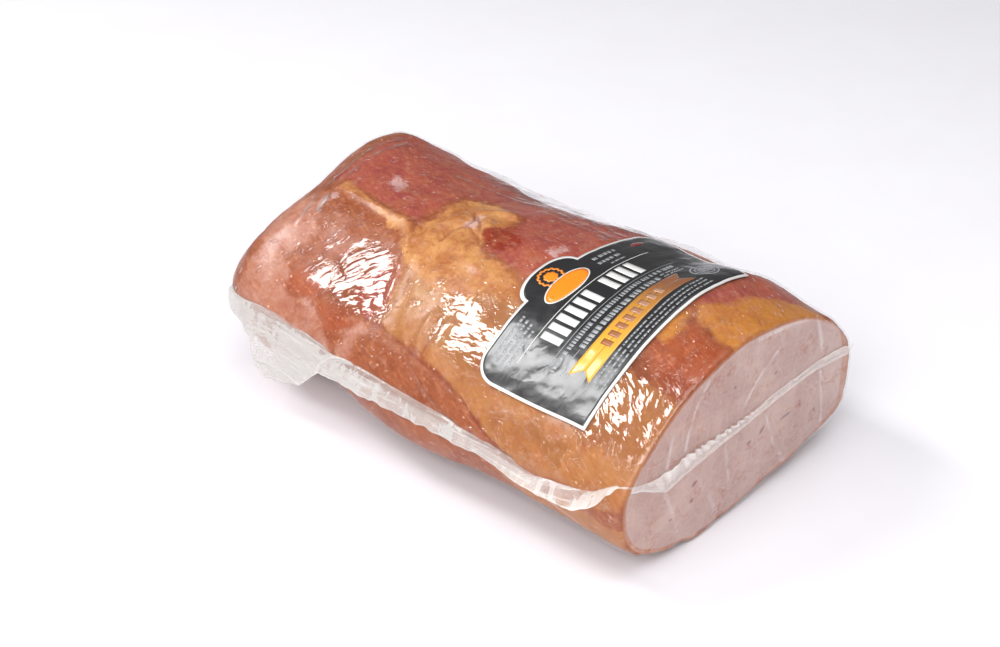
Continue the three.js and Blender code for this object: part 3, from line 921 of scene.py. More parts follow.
@dataclass
class CookedLoin:
    """The meat inside the film: the contents of the pack."""

    grid: SkinGrid
    zones: ZoneMap = ZoneMap()
    finish: MeatFinish = MeatFinish()
    depth: float = 0.5
    pit: float = 0.28
    pit_size: float = 4.2
    groove_width: float = 0.9
    groove_depth: float = 1.1
    bite: float = 1.2
    bite_size: float = 7.0
    warp_seed: int = 5
    rind_left: float = 2.2
    rind_right: float = 4.6
    rind_top: float = 1.1
    marks: tuple[Mark, ...] = (
        (-32, 31, 1.6, 1.0, 40), (-33, 23, 1.2, 1.0, 0), (4, 33, 1.6, 0.9, 0), (13, 35, 2.2, 1.0, 50),
        (30, 34, 3.4, 0.8, 0), (40, 36, 0.9, 2.4, 0), (-12, 5, 1.6, 1.2, 0), (-24, 2, 2.2, 0.9, 0),
        (52, 26, 1.0, 1.0, 0), (-46, 20, 0.8, 0.8, 0), (20, 60, 0.9, 0.7, 0), (-8, 66, 0.8, 0.8, 0),
    )
    grooves: tuple[Outline, ...] = (
        ((-25, 22), (-25.5, 12), (-23, 6), (-24, 0), (-29, -5)),
        ((-23, 6), (-17, 8.5), (-11, 11), (-7, 15)), ((-26, -4), (-20, 0.5), (-15, 6)),
        ((9, 59), (8.5, 66), (9.5, 74)), ((-22, 46), (-20, 54), (-22, 64), (-30, 71)),
        ((-21, 71), (3, 76), (23, 79.7), (38, 83.5), (46, 87.7), (54, 91.8), (64, 96), (73, 98)),
    )

    def build(self, effects: Effects, lumps: Array) -> Piece:
        """Makes the meat: the skin let in by its depth, with the shared lumps, fine pits and, on the
        cut face, a low grain; the colour zones are stored on it.

        Args:
            effects: the shared effects.
            lumps: the soft lumps that meat and film share, over the grid.

        Returns:
            The meat.
        """
        grid = self.grid
        fine = -self.pit * np.abs(LatticeNoise(11).at(grid.points, self.pit_size, 2))
        groove = grid.near(self.grooves, self.groove_width) * grid.on_length
        height = lumps + fine - self.depth - self.groove_depth * groove
        vertices, faces = closed_grid(grid.points + grid.normals * height[..., None] + self.ragged_foot())
        piece = put_mesh("loin_meat", vertices, faces, self.finish.material(effects))
        warp = LatticeNoise(self.warp_seed)
        for zone in Zone:
            store(piece, zone.value, self.zones.field(zone, grid.x, grid.round, warp))
        store(piece, "skin_place", grid.flat)
        # The groove mask also places the painted shade along the grooves.
        store(piece, "crease", groove)
        store(piece, "cut_depth", grid.on_cut)
        store(piece, "rind", self.rind_field())
        store(piece, "cut_marks", self.mark_field())
        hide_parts("loin_in_film")
        return piece

    def rind_field(self) -> Array:
        """Over a half where a point of the cut face is nearer its edge than the browned rim is thick:
        thick at the right, thinner at the left, and a line at the top."""
        y, z = self.grid.points[..., 1], self.grid.points[..., 2]
        half = self.grid.shape.width / 2.0
        at_right = smooth(y, 0.55 * half, 0.9 * half) * smooth(z, 60.0, 45.0)
        thick = mixed(at_right, self.rind_top, self.rind_right)
        thick = thick + (self.rind_left - self.rind_top) * smooth(-y, 0.4 * half, 0.8 * half)
        return np.clip(0.5 + (thick - self.grid.on_cut) / 4.0, 0.0, 1.0)

    def mark_field(self) -> Array:
        """The dark marks on the cut face: one less the scaled distance from each mark's middle."""
        y, z = self.grid.points[..., 1], self.grid.points[..., 2]
        deepest = np.zeros(y.shape)
        for middle_y, middle_z, half_y, half_z, turn in self.marks:
            cos, sin = np.cos(np.radians(turn)), np.sin(np.radians(turn))
            along = (y - middle_y) * cos + (z - middle_z) * sin
            aside = (z - middle_z) * cos - (y - middle_y) * sin
            deepest = np.maximum(deepest, 1.0 - 0.5 * np.hypot(along / half_y, aside / half_z))
        return np.where(self.grid.on_cut > 0.0, deepest, 0.0)

    def ragged_foot(self) -> Array:
        """Small crumbly bites out of the lower edge of the cut, as a shift of each point."""
        points = self.grid.points
        near = smooth(points[..., 0], 122.0, 129.0) * smooth(points[..., 2], 16.0, 4.0)
        bite = self.bite * np.maximum(LatticeNoise(23).at(points, self.bite_size, 2), 0.0) * near
        return bite[..., None] * np.array([-0.6, 0.0, 1.0])


@dataclass(frozen=True)
class FilmFinish:
    """Clear film drawn tight: it shows only by its reflections, and by haze where it has folded.
    Where it is loose it is glossy and creased; where it clings it takes on the meat's grain."""

    ior: float = 1.5
    gain: float = 1.6
    cling_gain: float = 0.3
    graze: float = 2.6
    least_gloss: float = 0.4
    haze: float = 0.5
    loose: float = 0.045
    clinging: float = 0.3
    waves: float = 0.3
    glint: float = 0.3

    def material(self, effects: Effects) -> Material:
        """The film's material: a mirror that is as strong as the film's reflection, F times the gain
        over one plus graze times F times the gloss, which keeps its edges clear. Below least_gloss
        the gloss counts as that there.

        Args:
            effects: the shared effects.

        Returns:
            The material.
        """
        material, tree, shader = new_material("clear_film")
        skin = tree.place_of("fold_place")
        calm = tree.value_of("calm")
        inputs = {"Field": tree.value_of("loose"), "Place": skin, "Fray": 1.05, "Soft": 0.08}
        loose = tree.group(effects.torn_edge, inputs)
        lively = tree.times(tree.times(loose, 0.75, 0.25), calm)
        inputs = {"Skin": skin, "Waves": tree.times(calm, self.waves), "Creases": lively}
        height = tree.group(effects.crinkle, inputs)
        inputs = {"Place": tree.drawn(skin, 2.4, 1.0), "Size": 2.6, "Reach": 0.27, "Share": 0.62}
        glint = tree.times(tree.group(effects.flecks, inputs), calm)
        height = tree.times(glint, self.glint, height)
        bump = tree.bump(height)
        mirror = tree.add("Fresnel", {"IOR": self.ior, "Normal": bump}).outputs[0]
        glossy = tree.math("MAXIMUM", loose, tree.ramp(glint, 0.0, 0.3))
        gloss = tree.math("MAXIMUM", glossy, self.least_gloss)
        limit = tree.times(tree.times(mirror, gloss), self.graze, 1.0)
        gain = tree.times(glossy, self.gain - self.cling_gain, self.cling_gain)
        shown = tree.math("DIVIDE", tree.times(mirror, gain), limit)
        haze = tree.times(tree.value_of("haze"), self.haze)
        rough = tree.times(glossy, self.loose - self.clinging, self.clinging)
        tree.feed(shader, {
            "Base Color": (1.0, 1.0, 1.0, 1.0),
            "Metallic": 1.0,
            "Alpha": tree.math("MINIMUM", tree.math("ADD", shown, haze), 1.0),
            "Roughness": tree.math("MAXIMUM", rough, haze),
            "Normal": bump,
        })
        return material


@dataclass
class FilmSkin:
    """The film where it clings to the loin, with its creases, folds and the hollows it spans."""

    grid: SkinGrid
    finish: FilmFinish = FilmFinish()
    lift: float = 0.25
    crease: float = 0.1
    lowest: float = 0.03
    fold_height: float = 0.3
    fold_width: float = 0.75
    loose_reach: float = 14.0
    least_loose: float = 0.12
    patch_reach: float = 50.0
    most_patchy: float = 0.4
    cut_loose: float = 0.6
    spans: tuple[Swelling, ...] = (Swelling(-30, 34, 3.0, 46, 16), Swelling(60, 30, 2.0, 40, 14))
    folds: tuple[Outline, ...] = (
        ((-26, 78), (-33, 70), (-38, 60), (-40, 52)), ((19, 71), (12, 68), (5, 63), (-3, 55)),
        ((48, 74), (51, 64), (53, 54)), ((-52, 37), (-47, 26), (-42, 13)),
        ((-48, 62), (-51, 50), (-48, 40)), ((-30, 31), (-22, 20), (-17, 9)),
        ((-14, 41), (-12, 30), (-9, 18)), ((14, 42), (20, 26), (31, 10)),
        ((52, 46), (55, 32), (57, 18)), ((6, 82.5), (14, 81.5), (28, 79.5), (44, 76)),
    )
    side_folds: tuple[Outline, ...] = (
        ((82, 105), (96, 111), (108, 117), (122, 122)),
        ((-104, -34), (-107, -6), (-105, 24), (-101, 48)),
        ((-99, -30), (-102, -4), (-100, 20), (-96, 38)),
        ((-66, -30), (-40, -37), (-10, -38), (20, -33), (40, -29)),
        ((-50, -38), (-20, -44), (10, -43), (34, -37)), ((-34, -47), (0, -51), (30, -45)),
        ((-12, -31), (12, -30), (34, -25)), ((20, -53), (50, -50), (78, -53), (98, -62)),
    )
    patchy: tuple[Outline, ...] = (
        ((-30, 36), (6, 34), (8, 70), (-26, 76)), ((98, 34), (131, 34), (131, -8), (98, -8)),
        ((-100, 28), (-66, 28), (-66, 64), (-100, 64)),
        ((40, 78), (100, 80), (128, 80), (128, 100), (60, 96)),
    )
    loose: tuple[Outline, ...] = (
        ((-78, 66), (-64, 71), (-40, 74), (-21, 70), (-22, 54), (-30, 46), (-42, 38), (-52, 36),
         (-64, 46), (-74, 56)),
        ((4, 48), (14, 40), (42, 37), (42, 74), (22, 71), (8, 66)),
        ((96, 76), (130, 76), (130, 34), (96, 34)), ((60, 80), (96, 78), (96, 86), (60, 86)),
        ((-60, -44), (0, -38), (40, -44), (40, -70), (-60, -70)),
    )

    def build(self, effects: Effects, lumps: Array) -> Piece:
        """Makes the film: the skin raised by its lift, the shared lumps, drawn-out creases, the folds
        on the cut face and the spans over hollows.

        Args:
            effects: the shared effects.
            lumps: the soft lumps that meat and film share, over the grid.

        Returns:
            The film.
        """
        grid = self.grid
        folds = self.fold_field()
        height = self.lift + lumps + self.creases() + self.fold_height * folds + self.span_height()
        points = grid.points + grid.normals * height[..., None]
        points[..., 2] = np.maximum(points[..., 2], self.lowest)
        vertices, faces = closed_grid(points)
        piece = put_mesh("film_skin", vertices, faces, self.finish.material(effects))
        store(piece, "fold_place", grid.folded)
        store(piece, "haze", np.clip(0.5 * folds * self.broken() + self.edge_haze(), 0.0, 1.0))
        store(piece, "calm", self.calm_field())
        store(piece, "loose", self.loose_field())
        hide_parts("loin_in_film")
        return piece

    def loose_field(self) -> Array:
        """Over a half where the film is loose, from the outlines of its loose places, and just under a
        half where it is loose in patches; the cut face counts as half loose all over."""
        grid = self.grid
        deepest = inside_distance(grid.x, grid.round, self.loose)
        inside = np.clip(0.5 + 0.5 * deepest / self.loose_reach, self.least_loose, 1.0)
        patch = 0.3 + inside_distance(grid.x, grid.round, self.patchy) / self.patch_reach
        inside = np.maximum(inside, np.clip(patch, 0.0, self.most_patchy))
        return np.where(grid.on_cut > 0.0, self.cut_loose, inside)

    def creases(self) -> Array:
        """Sharp low ridges: the folded size of a noise drawn out along the loin, at two sizes."""
        noise = LatticeNoise(31)
        grid = self.grid
        drawn = np.stack([grid.x * 0.32 + 0.1 * grid.round, grid.round, grid.points[..., 1] * 0.2], axis=-1)
        coarse = 1.0 - np.minimum(np.abs(noise.at(drawn, 9.0, 2)) * 2.2, 1.0)
        fine = 1.0 - np.minimum(np.abs(noise.at(drawn + 40.0, 5.0, 2)) * 2.0, 1.0)
        return self.crease * (0.8 * coarse + 0.5 * fine - 0.5) * self.calm_field()

    def calm_field(self) -> Array:
        """How lively the creases are: in full on the browned skin, and calm on the cut face."""
        return 1.0 - 0.72 * smooth(self.grid.on_cut, -0.5, 1.5)

    def fold_field(self) -> Array:
        """The fold lines: a bell across each line through its named points, in the cut face's own
        coordinates on that face and on the unrolled skin elsewhere."""
        grid = self.grid
        on_face = near_lines(grid.points[..., 1], grid.points[..., 2], self.folds, self.fold_width)
        on_side = 0.7 * grid.near(self.side_folds, 1.3 * self.fold_width)
        return np.where(grid.on_cut > 0.0, on_face, on_side * (grid.opening > 0.8))

    def broken(self) -> Array:
        """A share that fades the fold lines in and out along their length."""
        return np.clip(0.65 + 0.9 * LatticeNoise(43).at(self.grid.points, 9.0, 2), 0.15, 1.0)

    def span_height(self) -> Array:
        """How far the film stands off the meat where it spans a hollow, a bell for each span."""
        grid = self.grid
        degrees = np.linspace(0.0, 360.0, grid.sides, endpoint=False)[None, :]
        return sum(span.over(grid.x, degrees) for span in self.spans) * smooth(grid.opening, 0.9, 1.0)

    def edge_haze(self) -> Array:
        """A little haze in patches, more at the back end and where the film stands off the meat, and
        streaks of it along the low folds at the sides."""
        broad = np.clip(LatticeNoise(41).at(self.grid.points, 16.0, 3) + 0.3, 0.0, 1.0)
        back_end = smooth(self.grid.points[..., 0], -74.0, -112.0)
        streaks = self.grid.near(self.side_folds, 0.8) * self.broken()
        return (0.05 + 0.17 * back_end) * broad + 0.04 * self.span_height() + 0.5 * streaks


@dataclass(frozen=True)
class HemFinish:
    """The film's sealed seam: two layers pressed together, whitish and half clear."""

    # Two copies of the hem's colour: the plain, darker one for the flap, which lies in shade, and bright, a
    # lighter copy for the front, painted as if more light fell there.
    colour: Colour = srgb(190, 186, 183)
    bright: Colour = srgb(240, 237, 233)
    alpha: float = 0.08
    veil: float = 0.27
    streak: float = 0.34
    front_streak: float = 0.119
    shine: float = 0.6
    front_shine: float = 0.3
    shadow: float = 0.3
    roughness: float = 0.2

    def material(self, effects: Effects) -> Material:
        """The hem's material: pale and half see-through, denser where its veil is stored as dense,
        mottled, with bright grazing edges, and painted lighter at the front as if more light fell there;
        like real film it scatters light on and shades little.

        Args:
            effects: the shared effects.

        Returns:
            The material.
        """
        material, tree, shader = new_material("sealed_film")
        hem = tree.place_of("hem_place")
        streak = tree.noise(tree.drawn(hem, 34.0, 1.5, 3.0), 1.0, 4.0, 0.5)
        patch = tree.noise(hem, 5.0, 4.0, 0.6)
        streak = tree.times(patch, 0.3, tree.times(streak, 0.7))
        creased = tree.group(effects.crinkle, {"Skin": hem, "Waves": 0.6, "Creases": 0.7})
        bump = tree.bump(creased)
        mirror = tree.add("Fresnel", {"IOR": 1.45, "Normal": bump}).outputs[0]
        veil = tree.times(tree.value_of("hem_veil"), self.veil, self.alpha)
        front = tree.value_of("hem_front")
        streaks = tree.times(front, self.front_streak - self.streak, self.streak)
        shown = tree.times(tree.ramp(streak, 0.48, 0.66), streaks, veil)
        shine = tree.times(mirror, tree.times(front, self.front_shine - self.shine, self.shine))
        shown = tree.math("MINIMUM", tree.math("ADD", shine, shown), 1.0)
        shadow = tree.add("LightPath").outputs["Is Shadow Ray"]
        thin = tree.times(shadow, self.shadow - 1.0, 1.0)
        tree.feed(shader, {
            # Painted light: the front of the hem gets the lighter colour.
            "Base Color": tree.blend(front, self.colour, self.bright),
            "Alpha": tree.times(shown, thin),
            "Roughness": self.roughness,
            "Specular IOR Level": 0.8,
            "Normal": bump,
        })
        return material


@dataclass
class FilmHem:
    """The seam that stands out round the pack: it hangs at the sides, is wide at the back left and
    lies folded up against the cut face."""

    shape: LoinShape
    finish: HemFinish = HemFinish()
    thickness: float = 0.24
    root: float = 0.6
    rim_height: float = 0.7
    lowest: float = 0.4
    stations: int = 1200
    steps: int = 30
    bend: float = 5.0
    left: tuple[Place, ...] = (
        (-118, 2.5, 76), (-108, 4, 76), (-103, 7, 76), (-93, 12, 76), (-87, 17, 76), (-82, 27, 76),
        (-75, 31.5, 75), (-63, 28.5, 74), (-52, 24, 72), (-46, 18, 70), (-41, 12.5, 68), (-20, 11, 66),
        (15, 9.5, 64), (55, 6.5, 62), (89, 7.5, 58), (109, 9.5, 52), (116, 7.5, 44), (122, 6, 34),
    )
    rise: Outline = (
        (-118, 5.0), (-100, 6.0), (-84, 5.0), (-70, 3.5), (-55, 2.0), (-42, 1.0), (-20, 1.0), (20, 0.0),
        (60, -1.0), (83, -3.5), (101, -1.0), (115, 2.5), (121, 7.0), (126, 9.5),
    )
    right_width: float = 7.0
    right_droop: float = 60.0
    back_width: float = 5.0
    back_droop: float = 76.0
    cut_droop: float = -86.0
    cut_bend: float = 0.7
    cut_strip: tuple[Place, ...] = (
        (-76, 48, 3), (-65, 44.5, 3.5), (-57, 40, 7), (-50, 36.5, 11), (-42, 38.5, 10.5), (-34, 40, 9),
        (-20, 42, 6.5), (0, 44, 5), (20, 46.5, 4.5), (40, 47.5, 4.2), (50, 47.5, 4.4), (60, 46, 5.5),
        (70, 44.5, 6), (77, 43, 4),
    )
    rim: Outline = ((-45, 17), (-42, 12), (-41, 8), (-37, 3.8), (-31, 1.2), (-24, 0.3))

    def build(self, effects: Effects) -> Piece:
        """Makes the hem: a strip carried along the seam's line, bent by its droop as it leaves the
        skin, crinkled towards its edge, and given the thickness of two layers of film.

        Args:
            effects: the shared effects.

        Returns:
            The hem.
        """
        line, walked = self.seam_line()
        to_cut = smooth(line[:, 0], self.shape.length / 2.0 - 7.0, self.shape.length / 2.0)
        places, levels, strip = np.array(self.cut_strip, dtype=float).T
        line[:, 2] = mixed(to_cut, line[:, 2], np.interp(line[:, 1], places, levels))
        ahead = unit(np.roll(line, -1, axis=0) - np.roll(line, 1, axis=0))
        outward = unit(np.cross([0.0, 0.0, 1.0], ahead) * [1.0, 1.0, 0.0])
        width, droop = self.cut_of(line)
        uneven = LatticeNoise(57).at(walked[:, None] * [1.0, 0.0, 0.0], 7.0, 2)
        width = width * (1.0 + 0.09 * uneven * (1.0 - 0.8 * self.on_flap(line)))
        width = mixed(to_cut, width, np.interp(line[:, 1], places, strip))
        droop = mixed(to_cut, droop, self.cut_droop)
        bend = mixed(to_cut, self.bend, self.cut_bend)[:, None]
        share = np.linspace(0.0, 1.0, self.steps + 1)
        run = width[:, None] * share
        tilt = np.radians(droop)[:, None] * smooth(run, -bend, bend)
        step = (width / self.steps)[:, None]
        start = (0.5 * to_cut - self.root)[:, None]
        out = np.cumsum(np.cos(tilt) * step, axis=1) - np.cos(tilt[:, :1]) * step + start
        down = np.cumsum(np.sin(tilt) * step, axis=1) - np.sin(tilt[:, :1]) * step
        up = np.array([0.0, 0.0, 1.0])
        sheet = line[:, None] + out[..., None] * outward[:, None] - down[..., None] * up
        normal = np.sin(tilt)[..., None] * outward[:, None] + np.cos(tilt)[..., None] * up
        rim = self.rim_field(line, run)
        crinkles = self.crinkles(line, walked, run, share, to_cut)
        sheet = sheet + normal * (crinkles + self.rim_height * rim)[..., None]
        sheet[..., 2] = np.maximum(sheet[..., 2], self.lowest)
        half = normal * self.thickness / 2.0
        vertices, faces = torus_grid(np.concatenate([(sheet + half)[:, ::-1], sheet - half], axis=1))
        piece = put_mesh("film_hem", vertices, faces, self.finish.material(effects))
        veil = self.veil_field(line, run, share, to_cut) + 0.7 * rim
        # hem_front marks the front of the hem, which the finish paints lighter as if better lit, and streaks
        # and shines less.
        front = np.maximum(to_cut, 0.6 * smooth(line[:, 0], 60.0, 110.0))[:, None] + 0.0 * veil
        stored = {"hem_place": level(walked[:, None], run), "hem_veil": veil, "hem_front": front}
        for name, values in stored.items():
            both = np.concatenate([values[:, ::-1], values], axis=1)
            put_values(piece, name, both.reshape(-1, *values.shape[2:]))
        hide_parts("loin_in_film")
        return piece

    def seam_line(self) -> tuple[Array, Array]:
        """The seam on the skin as evenly spaced points: along the right side to the cut, across it,
        and back along the left side; and the distance walked to each."""
        x, across, up = self.shape.rings(1.0)
        right = self.shape.skin(x, across, up, np.zeros_like(x))
        left = self.shape.skin(x, across, up, np.pi - self.turn_of(x))
        loop = np.concatenate([right, left[::-1]])
        spans = np.linalg.norm(np.roll(loop, -1, axis=0) - loop, axis=-1)
        along = np.concatenate([[0.0], np.cumsum(spans)])
        walked = np.linspace(0.0, along[-1], self.stations, endpoint=False)
        closed = np.concatenate([loop, loop[:1]])
        line = np.stack([np.interp(walked, along, closed[:, axis]) for axis in range(3)], axis=-1)
        kernel = np.hanning(11) / np.hanning(11).sum()
        padded = np.concatenate([line[-5:], line, line[:5]])
        line = np.stack([np.convolve(padded[:, axis], kernel, mode="valid") for axis in range(3)], axis=-1)
        return line, walked

    def turn_of(self, x: Array) -> Array:
        """The angle by which the left seam lies over the widest line, from its rise there: the rise
        over the reach, to half the section's power, is the angle's sine."""
        shape = self.shape
        places, rises = np.array(self.rise, dtype=float).T
        rise = np.interp(x, places, rises)
        over = (np.maximum(rise, 0.0) / (shape.height - shape.seam_height)) ** (shape.crown_left / 2.0)
        under = (np.maximum(-rise, 0.0) / shape.seam_height) ** (shape.foot_left / 2.0)
        return np.arcsin(over - under)

    def cut_of(self, line: Array) -> tuple[Array, Array]:
        """The hem's width and its droop in degrees along the sides and the back."""
        x, y = line[:, 0], line[:, 1]
        half = self.shape.length / 2.0
        places, widths, droops = np.array(self.left, dtype=float).T
        to_left = smooth(-y, -20.0, 60.0)
        to_back = smooth(-x, half - 22.0, half - 8.0) * smooth(-y, 74.0, 40.0)
        width = mixed(to_left, self.right_width, np.interp(x, places, widths))
        droop = mixed(to_left, self.right_droop, np.interp(x, places, droops))
        return mixed(to_back, width, self.back_width), mixed(to_back, droop, self.back_droop)

    def crinkles(self, line: Array, walked: Array, run: Array, share: Array, to_cut: Array) -> Array:
        """Waves that grow towards the free edge and a fine crumple all over, from noise; at the front
        left they are livelier, and on the cut they turn to a row of short slanting pleats."""
        place = level(walked[:, None], run)
        long = LatticeNoise(51).at(place, 24.0, 2) * share**1.3
        short = LatticeNoise(52).at(place * [1.0, 0.45, 1.0], 6.0, 2) * smooth(share, 0.0, 0.25)
        x, y = line[:, 0], line[:, 1]
        front = smooth(x, 70.0, 110.0) * smooth(-y, 30.0, 60.0) * (1.0 - to_cut)
        lively = (0.75 + 1.2 * front - 0.4 * self.on_flap(line)) * (1.0 - to_cut) + 0.28 * to_cut
        crumple = to_cut * (0.25 + 0.9 * np.exp(-(((y + 50.0) / 10.0) ** 2)))
        drift = 0.45 * LatticeNoise(59).at(place * [1.0, 0.0, 0.0], 9.0, 2)
        slant = np.sin(2.0 * np.pi * (walked[:, None] / 4.6 - share * 1.1 + drift))
        pleats = (to_cut * window(y, -46.0, -38.0, -4.0, 10.0))[:, None] * slant * share
        return lively[:, None] * (1.7 * long + 0.4 * short) + (crumple[:, None] * short) + 0.6 * pleats

    @staticmethod
    def on_flap(line: Array) -> Array:
        """One along the smooth part of the wide flap at the back left, and nought elsewhere."""
        return window(line[:, 0], -88.0, -78.0, -46.0, -36.0) * (line[:, 1] < 0.0)

    def rim_field(self, line: Array, run: Array) -> Array:
        """The rounded rim where the wide flap at the back left folds into the narrow hem: a bell
        across a curve through named places, each a place along and a distance out."""
        return near_lines(line[:, :1] + 0.0 * run, run, (self.rim,), 1.0) * (line[:, 1] < 0.0)[:, None]

    def veil_field(self, line: Array, run: Array, share: Array, to_cut: Array) -> Array:
        """How dense the hem looks: thin near the skin, denser further out, dense along its free edge,
        patchy at the front left."""
        x, y = line[:, 0], line[:, 1]
        flap = (smooth(x, -36.0, -46.0) * (y < 0.0))[:, None]
        front = (smooth(x, 70.0, 100.0) * (1.0 - to_cut))[:, None]
        outward = 0.35 + 0.65 * smooth(share, 0.2, 0.45)[None, :]
        patches = np.clip(0.5 + 1.2 * LatticeNoise(53).at(level(x[:, None], run), 8.0, 2), 0.0, 1.0)
        veil = mixed(flap, outward, 0.7)
        veil = mixed(front, veil, 0.5 * patches + 0.1)
        veil = mixed(to_cut[:, None], veil, 1.1 * patches - 0.2)
        return veil + (0.8 - 0.4 * to_cut[:, None]) * smooth(share, 0.94, 1.0)[None, :]


@dataclass(frozen=True)
class PrintFinish:
    """One ink or ground of the label, under the film's gloss."""

    name: str
    light: Colour
    dark: Colour
    roughness: float = 0.3
    mottle: float = 3.0

    def material(self, effects: Effects) -> Material:
        """The print's material: its colour goes from light to dark along the label, faintly mottled;
        on the gold the light end is partly a painted sheen.

        Args:
            effects: the shared effects.

        Returns:
            The material.
        """
        material, tree, shader = new_material(self.name)
        place = tree.place()
        along = tree.place_of("label_place")
        read = tree.add("SeparateXYZ", {0: along}).outputs[0]
        share = tree.times(tree.noise(place, self.mottle, 3.0), 0.16, tree.ramp(read, 20.0, 92.0))
        bump = tree.bump(tree.group(effects.crinkle, {"Skin": along, "Waves": 0.4, "Creases": 0.3}))
        tree.feed(shader, {
            "Base Color": tree.blend(share, self.light, self.dark),
            "Roughness": tree.times(tree.noise(place, 5.0, 2.0), 0.12, self.roughness - 0.06),
            "Coat Weight": 0.42,
            "Coat Roughness": 0.15,
            "Normal": bump,
            "Coat Normal": bump,
        })
        return material


@dataclass
class Print:
    """One ink of the label: thin slabs gathered into one piece. Places are the label's own: read runs
    from its left end towards the right, and line from its back edge to its front edge."""

    label: "Label"
    height: float
    thickness: float = 0.07
    points: list[Array] = field(default_factory=list)
    faces: list[Array] = field(default_factory=list)
    flats: list[Array] = field(default_factory=list)
    count: int = 0

    def gather(self, flat: Array, points: Array, faces: list[Array]) -> None:
        """Adds points and faces to the piece, and their flat places once for each layer of points."""
        place = np.pad(flat.reshape(-1, 2), ((0, 0), (0, 1)))
        self.flats.append(np.tile(place, (len(points) // len(place), 1)))
        self.points.append(points)
        self.faces.extend(block + self.count for block in faces)
        self.count += len(points)

    def slab(self, flat: Array) -> None:
        """Adds a slab over a grid of flat places."""
        top, normals = self.label.on_loin(flat[..., 0], flat[..., 1], self.height)
        self.gather(flat, *slab_grid(top, normals, self.thickness))

    def between(self, read: Array, low: Array, high: Array, rows: int) -> None:
        """Adds the area between two curves.

        Args:
            read: distances along, in order.
            low: the line at which the area starts, for each.
            high: the line at which it ends, for each.
            rows: how many cells it is divided into.
        """
        line = mixed(np.linspace(0.0, 1.0, rows + 1), low[:, None], high[:, None])
        self.slab(level(read[:, None], line)[..., :2])

    def bar(self, start: float, stop: float, low: float, high: float) -> None:
        """Adds a plain bar from start to stop along and from low to high across."""
        read = np.linspace(start, stop, max(2, int((stop - start) / 1.2) + 2))
        rows = max(1, int((high - low) / 1.2))
        self.between(read, np.full(read.shape, low), np.full(read.shape, high), rows)

    def dashes(
        self, start: float, stop: float, line: float, high: float, seed: int, longest: float = 2.6
    ) -> None:
        """Adds a row of short bars of random length in place of a line of small print.

        Args:
            start, stop: where the row starts and stops along.
            line: its middle line.
            high: how high the bars are.
            seed: the seed of their lengths.
            longest: the longest bar.
        """
        draw = np.random.default_rng(seed)
        lengths = draw.uniform(0.35, 1.0, 200) * longest
        gaps = np.where(draw.random(200) < 0.25, 1.2, 0.5) * min(1.0, 0.5 + high / 3.0)
        starts = start + np.concatenate([[0.0], np.cumsum(lengths + gaps)[:-1]])
        for begin, length in zip(starts, lengths):
            if begin + length <= stop:
                self.bar(begin, begin + length, line - high / 2.0, line + high / 2.0)

    def disc(self, read: float, line: float, outline: Array, rings: int) -> "Print":
        """Adds a filled round shape about a middle point, its edge given as offsets from the middle."""
        sides = len(outline)
        share = (np.arange(1, rings + 1) / rings)[:, None, None]
        flat = np.concatenate([np.zeros((1, 2)), (outline[None] * share).reshape(-1, 2)]) + [read, line]
        top, normals = self.label.on_loin(flat[:, 0], flat[:, 1], self.height)
        number = 1 + np.arange(rings * sides).reshape(rings, sides)
        beside = np.roll(number, -1, axis=1)
        fan = np.stack([np.zeros(sides, dtype=int), number[0], beside[0]], axis=-1)
        quads = np.stack([number[:-1], number[1:], beside[1:], beside[:-1]], axis=-1).reshape(-1, 4)
        under = len(flat)
        wall = np.stack([number[-1], number[-1] + under, beside[-1] + under, beside[-1]], axis=-1)
        points = np.concatenate([top, top - self.thickness * normals])
        faces = [fan, quads, (fan + under)[:, ::-1], (quads + under)[:, ::-1], wall]
        self.gather(flat, points, faces)
        return self

    def ring(self, read: float, line: float, outline: Array, width: float) -> "Print":
        """Adds a line of a width along the inside of a closed outline about a middle point."""
        size = np.linalg.norm(outline, axis=-1, keepdims=True)
        inner = outline * (1.0 - width / size)
        flat = np.stack([outline, inner], axis=1) + [read, line]
        top, normals = self.label.on_loin(flat[..., 0], flat[..., 1], self.height)
        low = top - self.thickness * normals
        section = np.stack([top[:, 1], top[:, 0], low[:, 0], low[:, 1]], axis=1)
        self.gather(flat[:, [1, 0, 0, 1]], *torus_grid(section))
        return self

    def piece(self, name: str, finish: Material) -> Piece:
        """Makes the piece from all that was gathered."""
        piece = put_mesh(name, np.concatenate(self.points), self.faces, finish)
        put_values(piece, "label_place", np.concatenate(self.flats))
        return piece


def oval(half_read: float, half_line: float, sides: int = 48) -> Array:
    """The edge of an oval as offsets from its middle."""
    turn = np.linspace(0.0, 2.0 * np.pi, sides, endpoint=False)
    return np.stack([half_read * np.cos(turn), half_line * np.sin(turn)], axis=-1)


def scalloped(radius: float, depth: float, lobes: int, sides: int = 144) -> Array:
    """The edge of a roundel with round lobes: its radius less a depth, plus the depth times the
    size of a half wave."""
    turn = np.linspace(0.0, 2.0 * np.pi, sides, endpoint=False)
    reach = radius - depth + depth * np.abs(np.sin(lobes * turn / 2.0)) ** 0.7
    return np.stack([reach * np.cos(turn), reach * np.sin(turn)], axis=-1)


